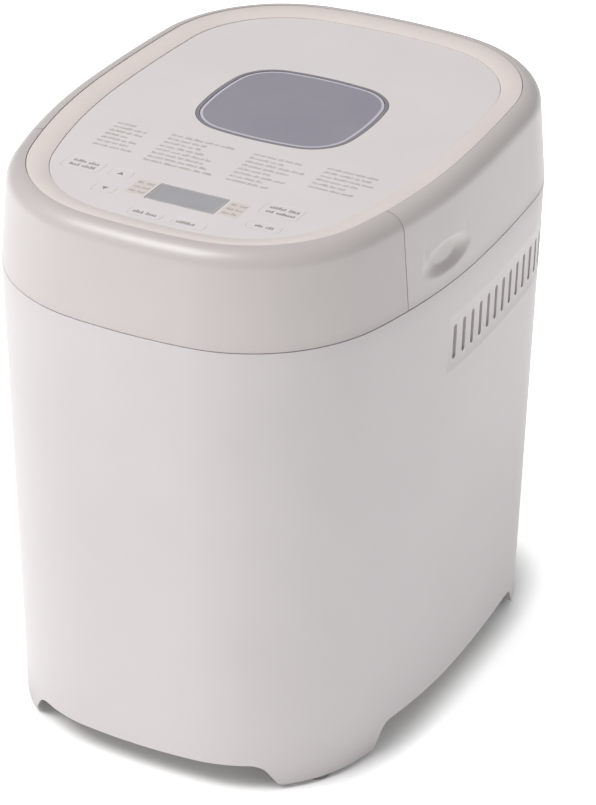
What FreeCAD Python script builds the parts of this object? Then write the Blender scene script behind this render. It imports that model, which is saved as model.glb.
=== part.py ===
import FreeCAD, Part
import math
import os

# Compact bread machine, in millimetres. +X is the vent side, +Y the hinge side, +Z up.
# Shapes are drawn about the middle of the body; save() moves them so that the origin is on
# the floor under the middle of the whole machine, hinge included.

os.makedirs("parts", exist_ok=True)
Vec = FreeCAD.Vector
UP = Vec(0, 0, 1)

# ---- driving dimensions ---------------------------------------------------------------
BODY_W = 220.0                      # widest width, at the seam under the lid
BODY_D = 290.0                      # depth at the same seam
CREST_Z = 293.5                     # highest line of the lid and collar
SEAM_Z = 245.0                      # top edge of the outer casing
CORNER_R = 79.0                     # plan corner radius at the seam
BOWS = (6.0, 8.0, 15.5, 5.0)        # half angles of the front, rear, front-side, rear-side bows
DRAFT = 1.33                        # casing leans in this much towards the floor, degrees
WALL = 2.6
SEAM_GAP = 0.5                      # shadow gap between casing and collar or lid
FIT_GAP = 0.25                      # half of the gap between collar and lid skirt

SKIRT_LEAN = 4.0                    # how far the skirt would lean in by the crest's height
SHOULDER_R = 9.3                    # radius of the rounded shoulder
CREST_INSET = 12.5                  # inset of the crest line
COLLAR_Y = -63.8                    # cross seam between the fixed collar and the lid

LEG_BOTTOM = 2.5
ARCH_Z = 15.0                       # top of the arches between the legs
ARCH_R = 9.0
ARCH_HALF_X = 65.5
ARCH_Y = (-71.0, 79.0)
FOOT_X = 77.5
FOOT_Y = 99.5
FOOT_R = 7.5                        # rubber pad under the leg rim
FOOT_PAD_H = 2.3
FOOT_STEM_R = 4.8                   # stem that the pad hangs from, inside the leg
FOOT_H = 3.5

VENT_COUNT = 13
VENT_PITCH = 9.05
VENT_FIRST_Y = -21.5
VENT_W = 3.2
VENT_Z = (201.0, 219.5)
VENT_BORDER = 4.5
VENT_RECESS = 0.4

GRIP_TURN = 84.5                    # outline direction at the middle of the grip, degrees
GRIP_Z = 260.0
GRIP_R = 8.5
GRIP_HALF_LENGTH = 14.5
GRIP_DEPTH = 3.2

RING_GAP = 0.4
RING_W = 10.6
PANEL_TOP = 291.0
RING_INNER_Z = 291.4
PANEL_T = 2.2
SHELF_T = 2.4                       # lid deck under the ring and the panel

OVEN_Y = 18.0                       # middle of window, oven, pan and drive
WINDOW = (42.7, 40.0, 23.5)         # half width, half depth, corner radius
WINDOW_BOWS = (8.0, 8.0, 8.0, 8.0)

LCD_X = 3.0
LCD_Y = -91.7
LCD_HALF = (18.1, 8.7)
KEY_GAP = 0.25
KEY_PROUD = 0.1
KEY_TRAVEL = 0.5
# key name: centre x, centre y, width, depth
KEYS = {
    "key_menu": (-57.0, -83.0, 20.0, 12.0),
    "key_timer_up": (-36.7, -83.3, 11.0, 9.0),
    "key_timer_down": (-35.8, -100.3, 11.0, 9.0),
    "key_crust": (-6.2, -114.0, 17.0, 7.0),
    "key_loaf_size": (16.2, -114.0, 17.0, 7.0),
    "key_start": (47.5, -83.0, 20.0, 12.0),
    "key_stop": (47.5, -100.3, 17.0, 7.0),
}

HINGE_Z = 247.0
KNUCKLE_R = 4.5
HINGE_BACK = 5.5                    # hinge axis behind the body
PIN_R = 2.0
RUN_FIT = 0.06                      # radial clearance of every running fit
HINGE_MIDDLES = (-24.0, 24.0)
LID_KNUCKLE_HALF = 10.0
LUG_W = 5.4
LUG_GAP = 0.6

DECK_Z = (240.0, 243.5)
OVEN_HALF = (84.0, 98.0, 30.0)      # clear half width, half depth, corner radius
OVEN_FLOOR_Z = 72.0
OVEN_SHEET = 1.2
OVEN_FLANGE = 8.0
COVER_Z = (247.0, 249.4)
DOME_Z = 262.8
DOME_SHEET = 1.2

PAN_BOTTOM = (88.0, 59.0, 69.0, 24.0)   # height, half width, half depth, corner radius
PAN_RIM = (198.0, 64.5, 74.5, 28.0)
PAN_T = 1.6
PAN_PIVOT_Z = 204.0
BAIL_HALF = 70.0
BAIL_ARM = 50.0
BAIL_R = 2.0
SEAT_R = 33.0
SHAFT_R = 4.0
HEATER_Z = 84.0
HEATER_R = 3.3
HEATER_HALF = (75.0, 88.0)

MOTOR_Y = -108.0
MOTOR_R = 22.0
MOTOR_Z = (61.5, 112.0)
PULLEY_Z = (34.0, 46.0)
BIG_PULLEY_R = 34.0
SMALL_PULLEY_R = 8.5
BELT_T = 1.6
BELT_GAP = 0.3
BASE_Z = (15.5, 18.5)
SCREW_R = 3.5
GLAND_X = 55.0                      # rubber gland where a cord would leave
GLAND_Z = 48.0
GLAND_R = 6.5
BRIDGE_Z = (58.0, 61.0)

HALF_W = BODY_W / 2
HALF_D = BODY_D / 2
HINGE_Y = HALF_D + HINGE_BACK
SHIFT_Y = -(HINGE_BACK + KNUCKLE_R) / 2
SHELF_TOP = PANEL_TOP - PANEL_T
KEY_FLANGE_LOW = SHELF_TOP - 1.6
KEY_STEM_LOW = SHELF_TOP - 1.8
SWITCH_TOP = KEY_STEM_LOW - KEY_TRAVEL - 0.1
SWITCH_H = 4.3
BOARD_T = 1.6
BOARD_TOP = SWITCH_TOP - SWITCH_H
FAR = 400.0


# ---- helpers --------------------------------------------------------------------------
def save(name, shape):
    """Place the sub-part in the machine's frame and write its file."""
    placed = shape.copy()
    placed.translate(Vec(0, SHIFT_Y, 0))
    placed.exportStep("parts/" + name + ".step")
    print(name, len(placed.Solids), "solid(s)", round(placed.Volume / 1000, 2), "cm3")


def box(x0, x1, y0, y1, z0, z1):
    return Part.makeBox(x1 - x0, y1 - y0, z1 - z0, Vec(x0, y0, z0))


def post(radius, z0, z1, x=0.0, y=0.0):
    return Part.makeCylinder(radius, z1 - z0, Vec(x, y, z0), UP)


def rod(radius, start, end):
    run = end.sub(start)
    return Part.makeCylinder(radius, run.Length, start, run)


def group(shapes):
    return Part.makeCompound(shapes)


def fused(shapes):
    whole = shapes[0]
    for piece in shapes[1:]:
        whole = whole.fuse(piece)
    return whole.removeSplitter()


def quarter_point(half_w, half_d, corner_r, end_bow, side_bow, turn):
    """Point of a three-arc quarter outline whose tangent has turned by the given angle.

    The quarter runs from the middle of the front (turn 0) to the middle of the side
    (turn 90): a wide end arc, the corner arc and a wide side arc, all tangent.
    """
    a = math.radians(end_bow)
    b = math.radians(90 - side_bow)
    t = math.radians(turn)
    run_x = half_w - corner_r * (math.sin(b) - math.sin(a))
    run_y = half_d - corner_r * (math.cos(a) - math.cos(b))
    det = math.sin(a) * math.cos(b) - (1 - math.sin(b)) * (1 - math.cos(a))
    end_r = (run_x * math.cos(b) - (1 - math.sin(b)) * run_y) / det
    side_r = (math.sin(a) * run_y - (1 - math.cos(a)) * run_x) / det
    stops = ((end_r, 0.0, a), (corner_r, a, b), (side_r, b, math.pi / 2))
    x = 0.0
    y = -half_d
    for radius, start, end in stops:
        reach = min(max(t, start), end)
        x += radius * (math.sin(reach) - math.sin(start))
        y += radius * (math.cos(start) - math.cos(reach))
    return x, y


def bowed_wire(half_w, half_d, corner_r, bows, z, middle_y=0.0):
    """Closed outline of tangent arcs: gently bowed ends and sides, round corners."""
    front, rear, side_front, side_rear = bows

    def right_chain(end_bow, side_bow, flip):
        turns = (end_bow, (end_bow + 90 - side_bow) / 2, 90 - side_bow, 90 - side_bow / 2, 90)
        found = [quarter_point(half_w, half_d, corner_r, end_bow, side_bow, t) for t in turns]
        return [Vec(x, middle_y + flip * y, z) for x, y in found]

    right = right_chain(front, side_front, 1) + right_chain(rear, side_rear, -1)[-2::-1]
    left = [Vec(-p.x, p.y, z) for p in reversed(right)]
    loop = right + [Vec(0, middle_y + half_d, z)] + left + [Vec(0, middle_y - half_d, z), right[0]]
    edges = [Part.Arc(loop[i], loop[i + 1], loop[i + 2]).toShape() for i in range(0, len(loop) - 1, 2)]
    return Part.Wire(edges)


def body_wire(inset, z):
    """Plan outline of the machine, moved inwards by the inset."""
    return bowed_wire(HALF_W - inset, HALF_D - inset, CORNER_R - inset, BOWS, z)


def body_prism(inset, z0, z1):
    return Part.Face(body_wire(inset, z0)).extrude(Vec(0, 0, z1 - z0))


def window_prism(inset, z0, z1):
    half_w, half_d, corner = (size - inset for size in WINDOW)
    wire = bowed_wire(half_w, half_d, corner, WINDOW_BOWS, z0, OVEN_Y)
    return Part.Face(wire).extrude(Vec(0, 0, z1 - z0))


def rounded_wire(half_x, half_y, radius, z, x=0.0, y=0.0):
    """Rectangle with round corners."""
    edges = []
    slant = radius * (1 - math.sqrt(0.5))
    inner_x = half_x - radius
    inner_y = half_y - radius
    for sx, sy in ((1, 1), (-1, 1), (-1, -1), (1, -1)):
        side = Vec(x + sx * half_x, y + sy * inner_y, z)
        middle = Vec(x + sx * (half_x - slant), y + sy * (half_y - slant), z)
        end = Vec(x + sx * inner_x, y + sy * half_y, z)
        ordered = (side, middle, end) if sx == sy else (end, middle, side)
        edges.append(Part.Arc(*ordered).toShape())
    joined = []
    for i, edge in enumerate(edges):
        following = edges[(i + 1) % 4]
        joined.append(edge)
        joined.append(Part.makeLine(edge.lastVertex().Point, following.firstVertex().Point))
    return Part.Wire(Part.__sortEdges__(joined))


def rounded_block(half_x, half_y, radius, z0, z1, x=0.0, y=0.0):
    return Part.Face(rounded_wire(half_x, half_y, radius, z0, x, y)).extrude(Vec(0, 0, z1 - z0))


def oven_block(grow, z0, z1):
    half_x, half_y, radius = (size + grow for size in OVEN_HALF)
    return rounded_block(half_x, half_y, radius, z0, z1, 0.0, OVEN_Y)


def bent_rod(points, corner_radii, radius):
    """Round bar along straight runs joined by tangent arcs."""
    edges = []
    start = points[0]
    for i, bend in enumerate(corner_radii, 1):
        back = points[i - 1].sub(points[i]).normalize()
        ahead = points[i + 1].sub(points[i]).normalize()
        half_turn = back.getAngle(ahead) / 2
        reach = bend / math.tan(half_turn)
        first = points[i].add(back.multiply(reach))
        last = points[i].add(ahead.multiply(reach))
        bisector = first.add(last).multiply(0.5).sub(points[i])
        bisector.normalize()
        centre_distance = bend / math.sin(half_turn)
        middle = points[i].add(bisector.multiply(centre_distance - bend))
        edges.append(Part.makeLine(start, first))
        edges.append(Part.Arc(first, middle, last).toShape())
        start = last
    edges.append(Part.makeLine(start, points[-1]))
    path = Part.Wire(edges)
    run = points[1].sub(points[0])
    ring = Part.Wire(Part.makeCircle(radius, points[0], run))
    return path.makePipeShell([ring], True, True)


def casing_inset(z):
    return (SEAM_Z - z) * math.tan(math.radians(DRAFT))


def casing_block(inset, z0, z1):
    """Solid with the casing's draft, between two heights."""
    wires = [body_wire(casing_inset(z) + inset, z) for z in (z0, z1)]
    return Part.makeLoft(wires, True, True)


def crown_block(inset=0.0, drop=0.0):
    """Solid of the collar and lid together: leaning skirt, rounded shoulder, flat top."""
    low = SEAM_Z + SEAM_GAP
    high = CREST_Z - drop
    lean = SKIRT_LEAN * (high - low) / (CREST_Z - low)
    block = Part.makeLoft([body_wire(inset, low), body_wire(inset + lean, high)], True, True)
    rim = [edge for edge in block.Edges if edge.BoundBox.ZMin > high - 0.01]
    return block.makeFillet(SHOULDER_R - drop, rim)


def front_half(edge_y):
    return box(-FAR, FAR, -FAR, edge_y, -FAR, FAR)


def rear_half(edge_y):
    return box(-FAR, FAR, edge_y, FAR, -FAR, FAR)


# ---- casing, collar and floor ---------------------------------------------------------
def arch_tool(low, high, along_x):
    """Rounded tunnel that leaves the legs standing between two stops."""
    middle = (low + high) / 2
    half = (high - low) / 2
    tool = rounded_block(half, ARCH_Z, ARCH_R, -FAR, FAR)
    tool.rotate(Vec(0, 0, 0), Vec(1, 0, 0), 90)
    if not along_x:
        tool.rotate(Vec(0, 0, 0), UP, 90)
    tool.translate(Vec(middle, 0, 0) if along_x else Vec(0, middle, 0))
    return tool


def vent_slot(y):
    low, high = VENT_Z
    radius = VENT_W / 2
    start = box(HALF_W - 20, HALF_W + 5, y - radius, y + radius, low + radius, high - radius)
    ends = [
        rod(radius, Vec(HALF_W - 20, y, z), Vec(HALF_W + 5, y, z)) for z in (low + radius, high - radius)
    ]
    return fused([start] + ends)


def hinge_eye(x0, x1):
    return rod(KNUCKLE_R, Vec(x0, HINGE_Y, HINGE_Z), Vec(x1, HINGE_Y, HINGE_Z))


def hinge_hole(radius):
    return rod(radius, Vec(-FAR, HINGE_Y, HINGE_Z), Vec(FAR, HINGE_Y, HINGE_Z))


def casing_lugs():
    """Four eyes behind the casing that hold the two hinge pins."""
    lugs = []
    for middle in HINGE_MIDDLES:
        for side in (-1, 1):
            inner = middle + side * (LID_KNUCKLE_HALF + LUG_GAP)
            outer = inner + side * LUG_W
            x0, x1 = sorted((inner, outer))
            web = box(x0, x1, HALF_D - 8, HINGE_Y + KNUCKLE_R, HINGE_Z - 17, SEAM_Z)
            tip = box(x0, x1, HINGE_Y - KNUCKLE_R, HINGE_Y + KNUCKLE_R, SEAM_Z, HINGE_Z)
            lugs.append(fused([web, tip, hinge_eye(x0, x1)]))
    return lugs


def outer_casing():
    outside = casing_block(0.0, LEG_BOTTOM, SEAM_Z)
    inside = casing_block(WALL, LEG_BOTTOM - 1, SEAM_Z + 1)
    ledge = body_prism(WALL - 1, DECK_Z[0] - WALL, DECK_Z[0])
    ledge = ledge.cut(body_prism(WALL + 4, DECK_Z[0] - 10, SEAM_Z))
    shell = outside.cut(inside).fuse(ledge)
    shell = shell.cut(arch_tool(-ARCH_HALF_X, ARCH_HALF_X, True))
    shell = shell.cut(arch_tool(ARCH_Y[0], ARCH_Y[1], False))
    last_y = VENT_FIRST_Y + (VENT_COUNT - 1) * VENT_PITCH
    edge = VENT_BORDER + VENT_W / 2
    field = box(50, FAR, VENT_FIRST_Y - edge, last_y + edge, VENT_Z[0] - VENT_BORDER, VENT_Z[1] + VENT_BORDER)
    skin = field.cut(casing_block(VENT_RECESS, LEG_BOTTOM, SEAM_Z))
    shell = shell.cut(skin)
    slots = [vent_slot(VENT_FIRST_Y + i * VENT_PITCH) for i in range(VENT_COUNT)]
    shell = shell.cut(group(slots))
    for lug in casing_lugs():
        shell = shell.fuse(lug.cut(inside))
    gland_hole = rod(GLAND_R, Vec(GLAND_X, HALF_D - 40, GLAND_Z), Vec(GLAND_X, HALF_D + 5, GLAND_Z))
    return shell.cut(hinge_hole(PIN_R)).cut(gland_hole).removeSplitter()


def cord_inlet():
    """Rubber gland in the rear wall; its mouth is closed because no cord is fitted."""
    wall_y = casing_rear_y(GLAND_X, GLAND_Z)
    spigot = rod(GLAND_R, Vec(GLAND_X, wall_y - 8, GLAND_Z), Vec(GLAND_X, wall_y + 1, GLAND_Z))
    collar = rod(GLAND_R + 3, Vec(GLAND_X, wall_y + 1, GLAND_Z), Vec(GLAND_X, wall_y + 3, GLAND_Z))
    nose = Part.makeCone(
        GLAND_R, GLAND_R - 2, 4, Vec(GLAND_X, wall_y + 3, GLAND_Z), Vec(0, 1, 0)
    )
    dimple = rod(3.2, Vec(GLAND_X, wall_y + 4.5, GLAND_Z), Vec(GLAND_X, wall_y + 8, GLAND_Z))
    wall = casing_block(0.0, GLAND_Z - 20, GLAND_Z + 20).cut(casing_block(WALL, GLAND_Z - 21, GLAND_Z + 21))
    return fused([spigot, collar, nose]).cut(dimple).cut(wall.cut(spigot))


def casing_rear_y(x, z):
    """How far back the casing reaches at one place."""
    ray = Part.makeLine(Vec(x, 0, z), Vec(x, FAR, z))
    outline = casing_block(0.0, z - 1, z + 1)
    return max(v.Point.y for v in outline.common(ray).Vertexes)


def foot_places():
    return [(sx * FOOT_X, sy * FOOT_Y) for sx in (-1, 1) for sy in (-1, 1)]


def base_plate():
    inset = casing_inset(BASE_Z[0]) + WALL + 0.3
    plate = body_prism(inset, *BASE_Z)
    stubs = [post(FOOT_STEM_R, FOOT_H, BASE_Z[1], x, y) for x, y in foot_places()]
    return fused([plate] + stubs)


def rubber_feet():
    feet = []
    for x, y in foot_places():
        pad = post(FOOT_R, 0, FOOT_PAD_H, x, y)
        pad = pad.makeChamfer(0.8, [e for e in pad.Edges if e.BoundBox.ZMax < 0.1])
        feet.append(pad.fuse(post(FOOT_STEM_R, FOOT_PAD_H, FOOT_H, x, y)))
    return group(feet)


def case_screws():
    places = [(x, y) for x in (-60, 60) for y in (-88, 0, 88)]
    return group([post(SCREW_R, BASE_Z[0] - 1.7, BASE_Z[0], x, y) for x, y in places])


def front_collar():
    edge_y = COLLAR_Y - FIT_GAP
    pocket = body_prism(CREST_INSET, SEAM_Z - 10, FAR)
    block = crown_block().cut(pocket).common(front_half(edge_y))
    lining = body_prism(CREST_INSET - 2.1, SEAM_Z - 10, FAR)
    hollow = crown_block(WALL, WALL).cut(lining).common(front_half(edge_y - WALL))
    drop = box(-FAR, FAR, -FAR, edge_y - WALL, SEAM_Z - 5, SEAM_Z + SEAM_GAP)
    below = body_prism(WALL, SEAM_Z - 5, SEAM_Z + 2).cut(lining)
    hollow = hollow.fuse(below.common(drop.fuse(front_half(edge_y - WALL))))
    locator = body_prism(WALL + 0.4, DECK_Z[1], SEAM_Z + 6).cut(body_prism(WALL + 2.4, 0, FAR))
    tie = body_prism(WALL - 1.2, SEAM_Z + 3, SEAM_Z + 6).cut(body_prism(WALL + 2.4, 0, FAR))
    foot = body_prism(CREST_INSET - 2.1, DECK_Z[1], SEAM_Z + 2).cut(pocket)
    extras = [piece.common(front_half(edge_y)) for piece in (locator, tie, foot)]
    return fused([block.cut(hollow)] + extras)


def top_deck():
    plate = body_prism(WALL + 0.3, *DECK_Z)
    return plate.cut(oven_block(OVEN_SHEET + 0.3, 0, FAR))


# ---- oven -----------------------------------------------------------------------------
def oven_chamber():
    tub = oven_block(OVEN_SHEET, OVEN_FLOOR_Z - OVEN_SHEET, DECK_Z[1] + 1)
    flange = oven_block(OVEN_SHEET + OVEN_FLANGE, DECK_Z[1], DECK_Z[1] + 1)
    room = oven_block(0.0, OVEN_FLOOR_Z, FAR)
    tub = tub.fuse(flange).cut(room)
    tub = tub.cut(post(13.0, 0, OVEN_FLOOR_Z + 5, 0, OVEN_Y))
    for x in (-8.0, 8.0):
        tub = tub.cut(rod(HEATER_R + 0.5, Vec(x, OVEN_Y + 80, HEATER_Z), Vec(x, FAR, HEATER_Z)))
    sensor_hole = rod(3.0, Vec(SENSOR_X, -FAR, SENSOR_Z), Vec(SENSOR_X, OVEN_Y - 80, SENSOR_Z))
    return tub.cut(sensor_hole).removeSplitter()


SENSOR_X = 40.0
SENSOR_Z = 130.0


def temperature_sensor():
    front = OVEN_Y - OVEN_HALF[1]
    probe = rod(3.0, Vec(SENSOR_X, front - 6, SENSOR_Z), Vec(SENSOR_X, front + 9, SENSOR_Z))
    head = rod(6.0, Vec(SENSOR_X, front - 6, SENSOR_Z), Vec(SENSOR_X, front - OVEN_SHEET, SENSOR_Z))
    return fused([probe, head])


def thermal_fuse():
    side = OVEN_HALF[0] + OVEN_SHEET
    plate = box(side, side + 1.5, OVEN_Y - 16, OVEN_Y + 16, 136, 146)
    barrel = rod(3.0, Vec(side + 4.5, OVEN_Y - 9, 141), Vec(side + 4.5, OVEN_Y + 9, 141))
    return fused([plate, barrel])


def heating_element():
    half_x, half_y = HEATER_HALF
    out_y = OVEN_Y + OVEN_HALF[1] + 14
    corners = [(8, out_y), (8, half_y + OVEN_Y), (half_x, half_y + OVEN_Y), (half_x, OVEN_Y - half_y)]
    points = [Vec(x, y, HEATER_Z) for x, y in corners]
    points += [Vec(-p.x, p.y, p.z) for p in reversed(points)]
    return bent_rod(points, (7, 28, 28, 28, 28, 7), HEATER_R)


def heater_terminals():
    rear = OVEN_Y + OVEN_HALF[1] + OVEN_SHEET
    rings = []
    for x in (-8.0, 8.0):
        sleeve = rod(6.0, Vec(x, rear, HEATER_Z), Vec(x, rear + 6, HEATER_Z))
        rings.append(sleeve.cut(rod(HEATER_R, Vec(x, rear - 1, HEATER_Z), Vec(x, rear + 7, HEATER_Z))))
    return group(rings)


def heater_brackets():
    half_x, half_y = HEATER_HALF
    top = HEATER_Z - HEATER_R
    side = [box(s * half_x - 4, s * half_x + 4, OVEN_Y - 6, OVEN_Y + 6, OVEN_FLOOR_Z, top) for s in (-1, 1)]
    y = OVEN_Y - half_y
    front = [box(x - 6, x + 6, y - 4, y + 4, OVEN_FLOOR_Z, top) for x in (-30, 30)]
    return group(side + front)


def pan_seat():
    ring = post(SEAT_R, OVEN_FLOOR_Z, OVEN_FLOOR_Z + 12, 0, OVEN_Y)
    return ring.cut(post(SEAT_R - 3, 0, FAR, 0, OVEN_Y))


# ---- drive ----------------------------------------------------------------------------
def drive_bridge():
    half_x, half_y, corner = 72.0, 62.0, 12.0
    plate = rounded_block(half_x, half_y, corner, *BRIDGE_Z, 0.0, OVEN_Y)
    pillars = []
    for sx in (-1, 1):
        for sy in (-1, 1):
            x, y = sx * (half_x - 12), OVEN_Y + sy * (half_y - 12)
            pillars.append(post(5.0, BASE_Z[1], OVEN_FLOOR_Z - OVEN_SHEET, x, y))
    return fused([plate] + pillars).cut(post(11.0, 0, FAR, 0, OVEN_Y))


def bearing_housing():
    sleeve = post(11.0, BRIDGE_Z[0] - 6, OVEN_FLOOR_Z + 3, 0, OVEN_Y)
    flange = post(17.0, BRIDGE_Z[1], BRIDGE_Z[1] + 3, 0, OVEN_Y)
    bore = post(SHAFT_R + RUN_FIT, 0, FAR, 0, OVEN_Y)
    return fused([sleeve, flange]).cut(bore)


def pulley(radius, bore, x, y):
    low, high = PULLEY_Z
    rim = post(radius, low, high, x, y)
    cheeks = [post(radius + 3, z, z + 1.2, x, y) for z in (low, high - 1.2)]
    return fused([rim] + cheeks).cut(post(bore, 0, FAR, x, y))


def drive_pulley():
    wheel = pulley(BIG_PULLEY_R, SHAFT_R, 0, OVEN_Y)
    holes = []
    for i in range(6):
        angle = math.radians(60 * i)
        reach = BIG_PULLEY_R * 0.58
        holes.append(post(6.0, 0, FAR, reach * math.cos(angle), OVEN_Y + reach * math.sin(angle)))
    return wheel.cut(group(holes))


def drive_shaft():
    return post(SHAFT_R, PULLEY_Z[0] - 4, OVEN_FLOOR_Z + 9, 0, OVEN_Y)


def drive_coupling():
    """Dish with two upright prongs that push the pan's wing round."""
    low = OVEN_FLOOR_Z + 5
    dish = post(14.0, low, low + 4, 0, OVEN_Y).cut(post(SHAFT_R, 0, FAR, 0, OVEN_Y))
    prongs = [box(s * 11 - 2, s * 11 + 2, OVEN_Y - 3, OVEN_Y + 3, low + 4, low + 11) for s in (-1, 1)]
    return fused([dish] + prongs)


def motor():
    can = post(MOTOR_R, *MOTOR_Z, 0, MOTOR_Y)
    nose = post(7.0, MOTOR_Z[0] - 3, MOTOR_Z[0], 0, MOTOR_Y)
    cap = post(9.0, MOTOR_Z[1], MOTOR_Z[1] + 5, 0, MOTOR_Y)
    return fused([can, nose, cap]).cut(post(2.5 + RUN_FIT, 0, MOTOR_Z[0] + 10, 0, MOTOR_Y))


def motor_bracket():
    plate = rounded_block(32.0, 23.5, 5.0, MOTOR_Z[0] - 3, MOTOR_Z[0], 0.0, MOTOR_Y)
    plate = plate.cut(post(7.0, 0, FAR, 0, MOTOR_Y))
    pillars = [
        post(3.5, BASE_Z[1], MOTOR_Z[0] - 3, sx * 27, MOTOR_Y + sy * 18) for sx in (-1, 1) for sy in (-1, 1)
    ]
    return fused([plate] + pillars)


def motor_shaft():
    return post(2.5, PULLEY_Z[0] - 2, MOTOR_Z[0] + 8, 0, MOTOR_Y)


def motor_pulley():
    return pulley(SMALL_PULLEY_R, 2.5, 0, MOTOR_Y)


def belt_wire(grow, z):
    """Line round both pulleys: two arcs and the two straight runs between them."""
    big = BIG_PULLEY_R + grow
    small = SMALL_PULLEY_R + grow
    lean = math.asin((big - small) / (OVEN_Y - MOTOR_Y))
    cx, sx = math.cos(lean), math.sin(lean)
    b1, b2 = Vec(big * cx, OVEN_Y - big * sx, z), Vec(-big * cx, OVEN_Y - big * sx, z)
    s1, s2 = Vec(small * cx, MOTOR_Y - small * sx, z), Vec(-small * cx, MOTOR_Y - small * sx, z)
    edges = [
        Part.Arc(b1, Vec(0, OVEN_Y + big, z), b2).toShape(),
        Part.makeLine(b2, s2),
        Part.Arc(s2, Vec(0, MOTOR_Y - small, z), s1).toShape(),
        Part.makeLine(s1, b1),
    ]
    return Part.Wire(edges)


def drive_belt():
    low, high = PULLEY_Z[0] + 1.6, PULLEY_Z[1] - 1.6
    rise = Vec(0, 0, high - low)
    outer = Part.Face(belt_wire(BELT_GAP + BELT_T, low)).extrude(rise)
    inner = Part.Face(belt_wire(BELT_GAP, low)).extrude(rise)
    return outer.cut(inner)


def power_board():
    return box(-98.0, -96.4, OVEN_Y - 40, OVEN_Y + 45, 90, 190)


def board_components():
    inner = -96.4
    coil = box(inner, inner + 9, OVEN_Y - 30, OVEN_Y - 4, 100, 128)
    relay = box(inner, inner + 8, OVEN_Y + 8, OVEN_Y + 26, 104, 120)
    cans = [rod(5.0, Vec(inner, OVEN_Y + y, 165), Vec(inner + 9, OVEN_Y + y, 165)) for y in (-26, -10, 6)]
    sink = box(inner, inner + 6, OVEN_Y + 18, OVEN_Y + 40, 150, 180)
    return group([coil, relay, sink] + cans)


# ---- pan and blade --------------------------------------------------------------------
def pan_wire(station, inset, lift=0.0):
    z, half_x, half_y, corner = station
    return rounded_wire(half_x - inset, half_y - inset, corner - inset, z + lift, 0.0, OVEN_Y)


def bread_pan():
    outside = Part.makeLoft([pan_wire(PAN_BOTTOM, 0), pan_wire(PAN_RIM, 0)], True, True)
    inside = Part.makeLoft([pan_wire(PAN_BOTTOM, PAN_T, PAN_T), pan_wire(PAN_RIM, PAN_T)], True, True)
    rim_z, half_x, half_y, corner = PAN_RIM
    lip = rounded_block(half_x + 2, half_y + 2, corner + 2, rim_z - 1.6, rim_z, 0.0, OVEN_Y)
    ears = []
    for side in (-1, 1):
        x0, x1 = sorted((side * (half_x - 0.4), side * (half_x + 2)))
        tab = box(x0, x1, OVEN_Y - 7, OVEN_Y + 7, rim_z - 1.6, PAN_PIVOT_Z)
        eye = rod(7.0, Vec(x0, OVEN_Y, PAN_PIVOT_Z), Vec(x1, OVEN_Y, PAN_PIVOT_Z))
        above = box(x0, x1, OVEN_Y - 8, OVEN_Y + 8, PAN_PIVOT_Z - 6, PAN_PIVOT_Z + 8)
        ears.append(tab.fuse(eye.common(above)))
    pan = fused([outside, lip] + ears)
    mouth = (half_x - PAN_T, half_y - PAN_T, corner - PAN_T)
    pan = pan.cut(inside).cut(rounded_block(*mouth, rim_z - 0.2, FAR, 0.0, OVEN_Y))
    for side in (-1, 1):
        x0, x1 = sorted((side * (half_x - 5), side * (half_x + 5)))
        pan = pan.cut(rod(BAIL_R + RUN_FIT, Vec(x0, OVEN_Y, PAN_PIVOT_Z), Vec(x1, OVEN_Y, PAN_PIVOT_Z)))
    return pan.cut(post(8.0, 0, PAN_BOTTOM[0] + 5, 0, OVEN_Y)).removeSplitter()


def pan_base_ring():
    ring = post(SEAT_R + 3, OVEN_FLOOR_Z + 0.3, PAN_BOTTOM[0], 0, OVEN_Y)
    return ring.cut(post(SEAT_R + 0.4, 0, FAR, 0, OVEN_Y))


def pan_bush():
    sleeve = post(8.0, PAN_BOTTOM[0], PAN_BOTTOM[0] + PAN_T + 5, 0, OVEN_Y)
    return sleeve.cut(post(SHAFT_R + RUN_FIT, 0, FAR, 0, OVEN_Y))


def pan_handle():
    inner = PAN_RIM[1] - 1.5
    points = [
        Vec(-inner, OVEN_Y, PAN_PIVOT_Z),
        Vec(-BAIL_HALF, OVEN_Y, PAN_PIVOT_Z),
        Vec(-BAIL_HALF, OVEN_Y - BAIL_ARM, PAN_PIVOT_Z),
    ]
    points += [Vec(-p.x, p.y, p.z) for p in reversed(points)]
    return bent_rod(points, (2.6, 12, 12, 2.6), BAIL_R)


def blade_shaft():
    return post(SHAFT_R, PAN_BOTTOM[0], PAN_BOTTOM[0] + 24, 0, OVEN_Y)


def wing_coupling():
    """Cross bar under the pan that the two prongs push."""
    high = PAN_BOTTOM[0] - 0.4
    hub = post(5.0, high - 5, high, 0, OVEN_Y)
    neck = post(SHAFT_R - 0.5, high, PAN_BOTTOM[0], 0, OVEN_Y)
    bar = box(-2.5, 2.5, OVEN_Y - 11, OVEN_Y + 11, high - 5, high - 0.5)
    return fused([hub, neck, bar])


def kneading_blade():
    low = PAN_BOTTOM[0] + PAN_T + 5.5
    high = PAN_BOTTOM[0] + 30
    hub = post(9.0, low, high - 3, 0, OVEN_Y)
    crown = Part.makeCone(9.0, 6.0, 3, Vec(0, OVEN_Y, high - 3), UP)
    wing = [
        Vec(-2.2, OVEN_Y, low), Vec(-2.2, OVEN_Y + 42, low), Vec(-2.2, OVEN_Y + 44, low + 8),
        Vec(-2.2, OVEN_Y + 38, low + 16), Vec(-2.2, OVEN_Y + 14, high - 6), Vec(-2.2, OVEN_Y, high - 6),
    ]
    paddle = Part.Face(Part.makePolygon(wing + [wing[0]])).extrude(Vec(4.4, 0, 0))
    blade = fused([hub, crown, paddle])
    return blade.cut(post(SHAFT_R, 0, PAN_BOTTOM[0] + 24, 0, OVEN_Y))


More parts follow.
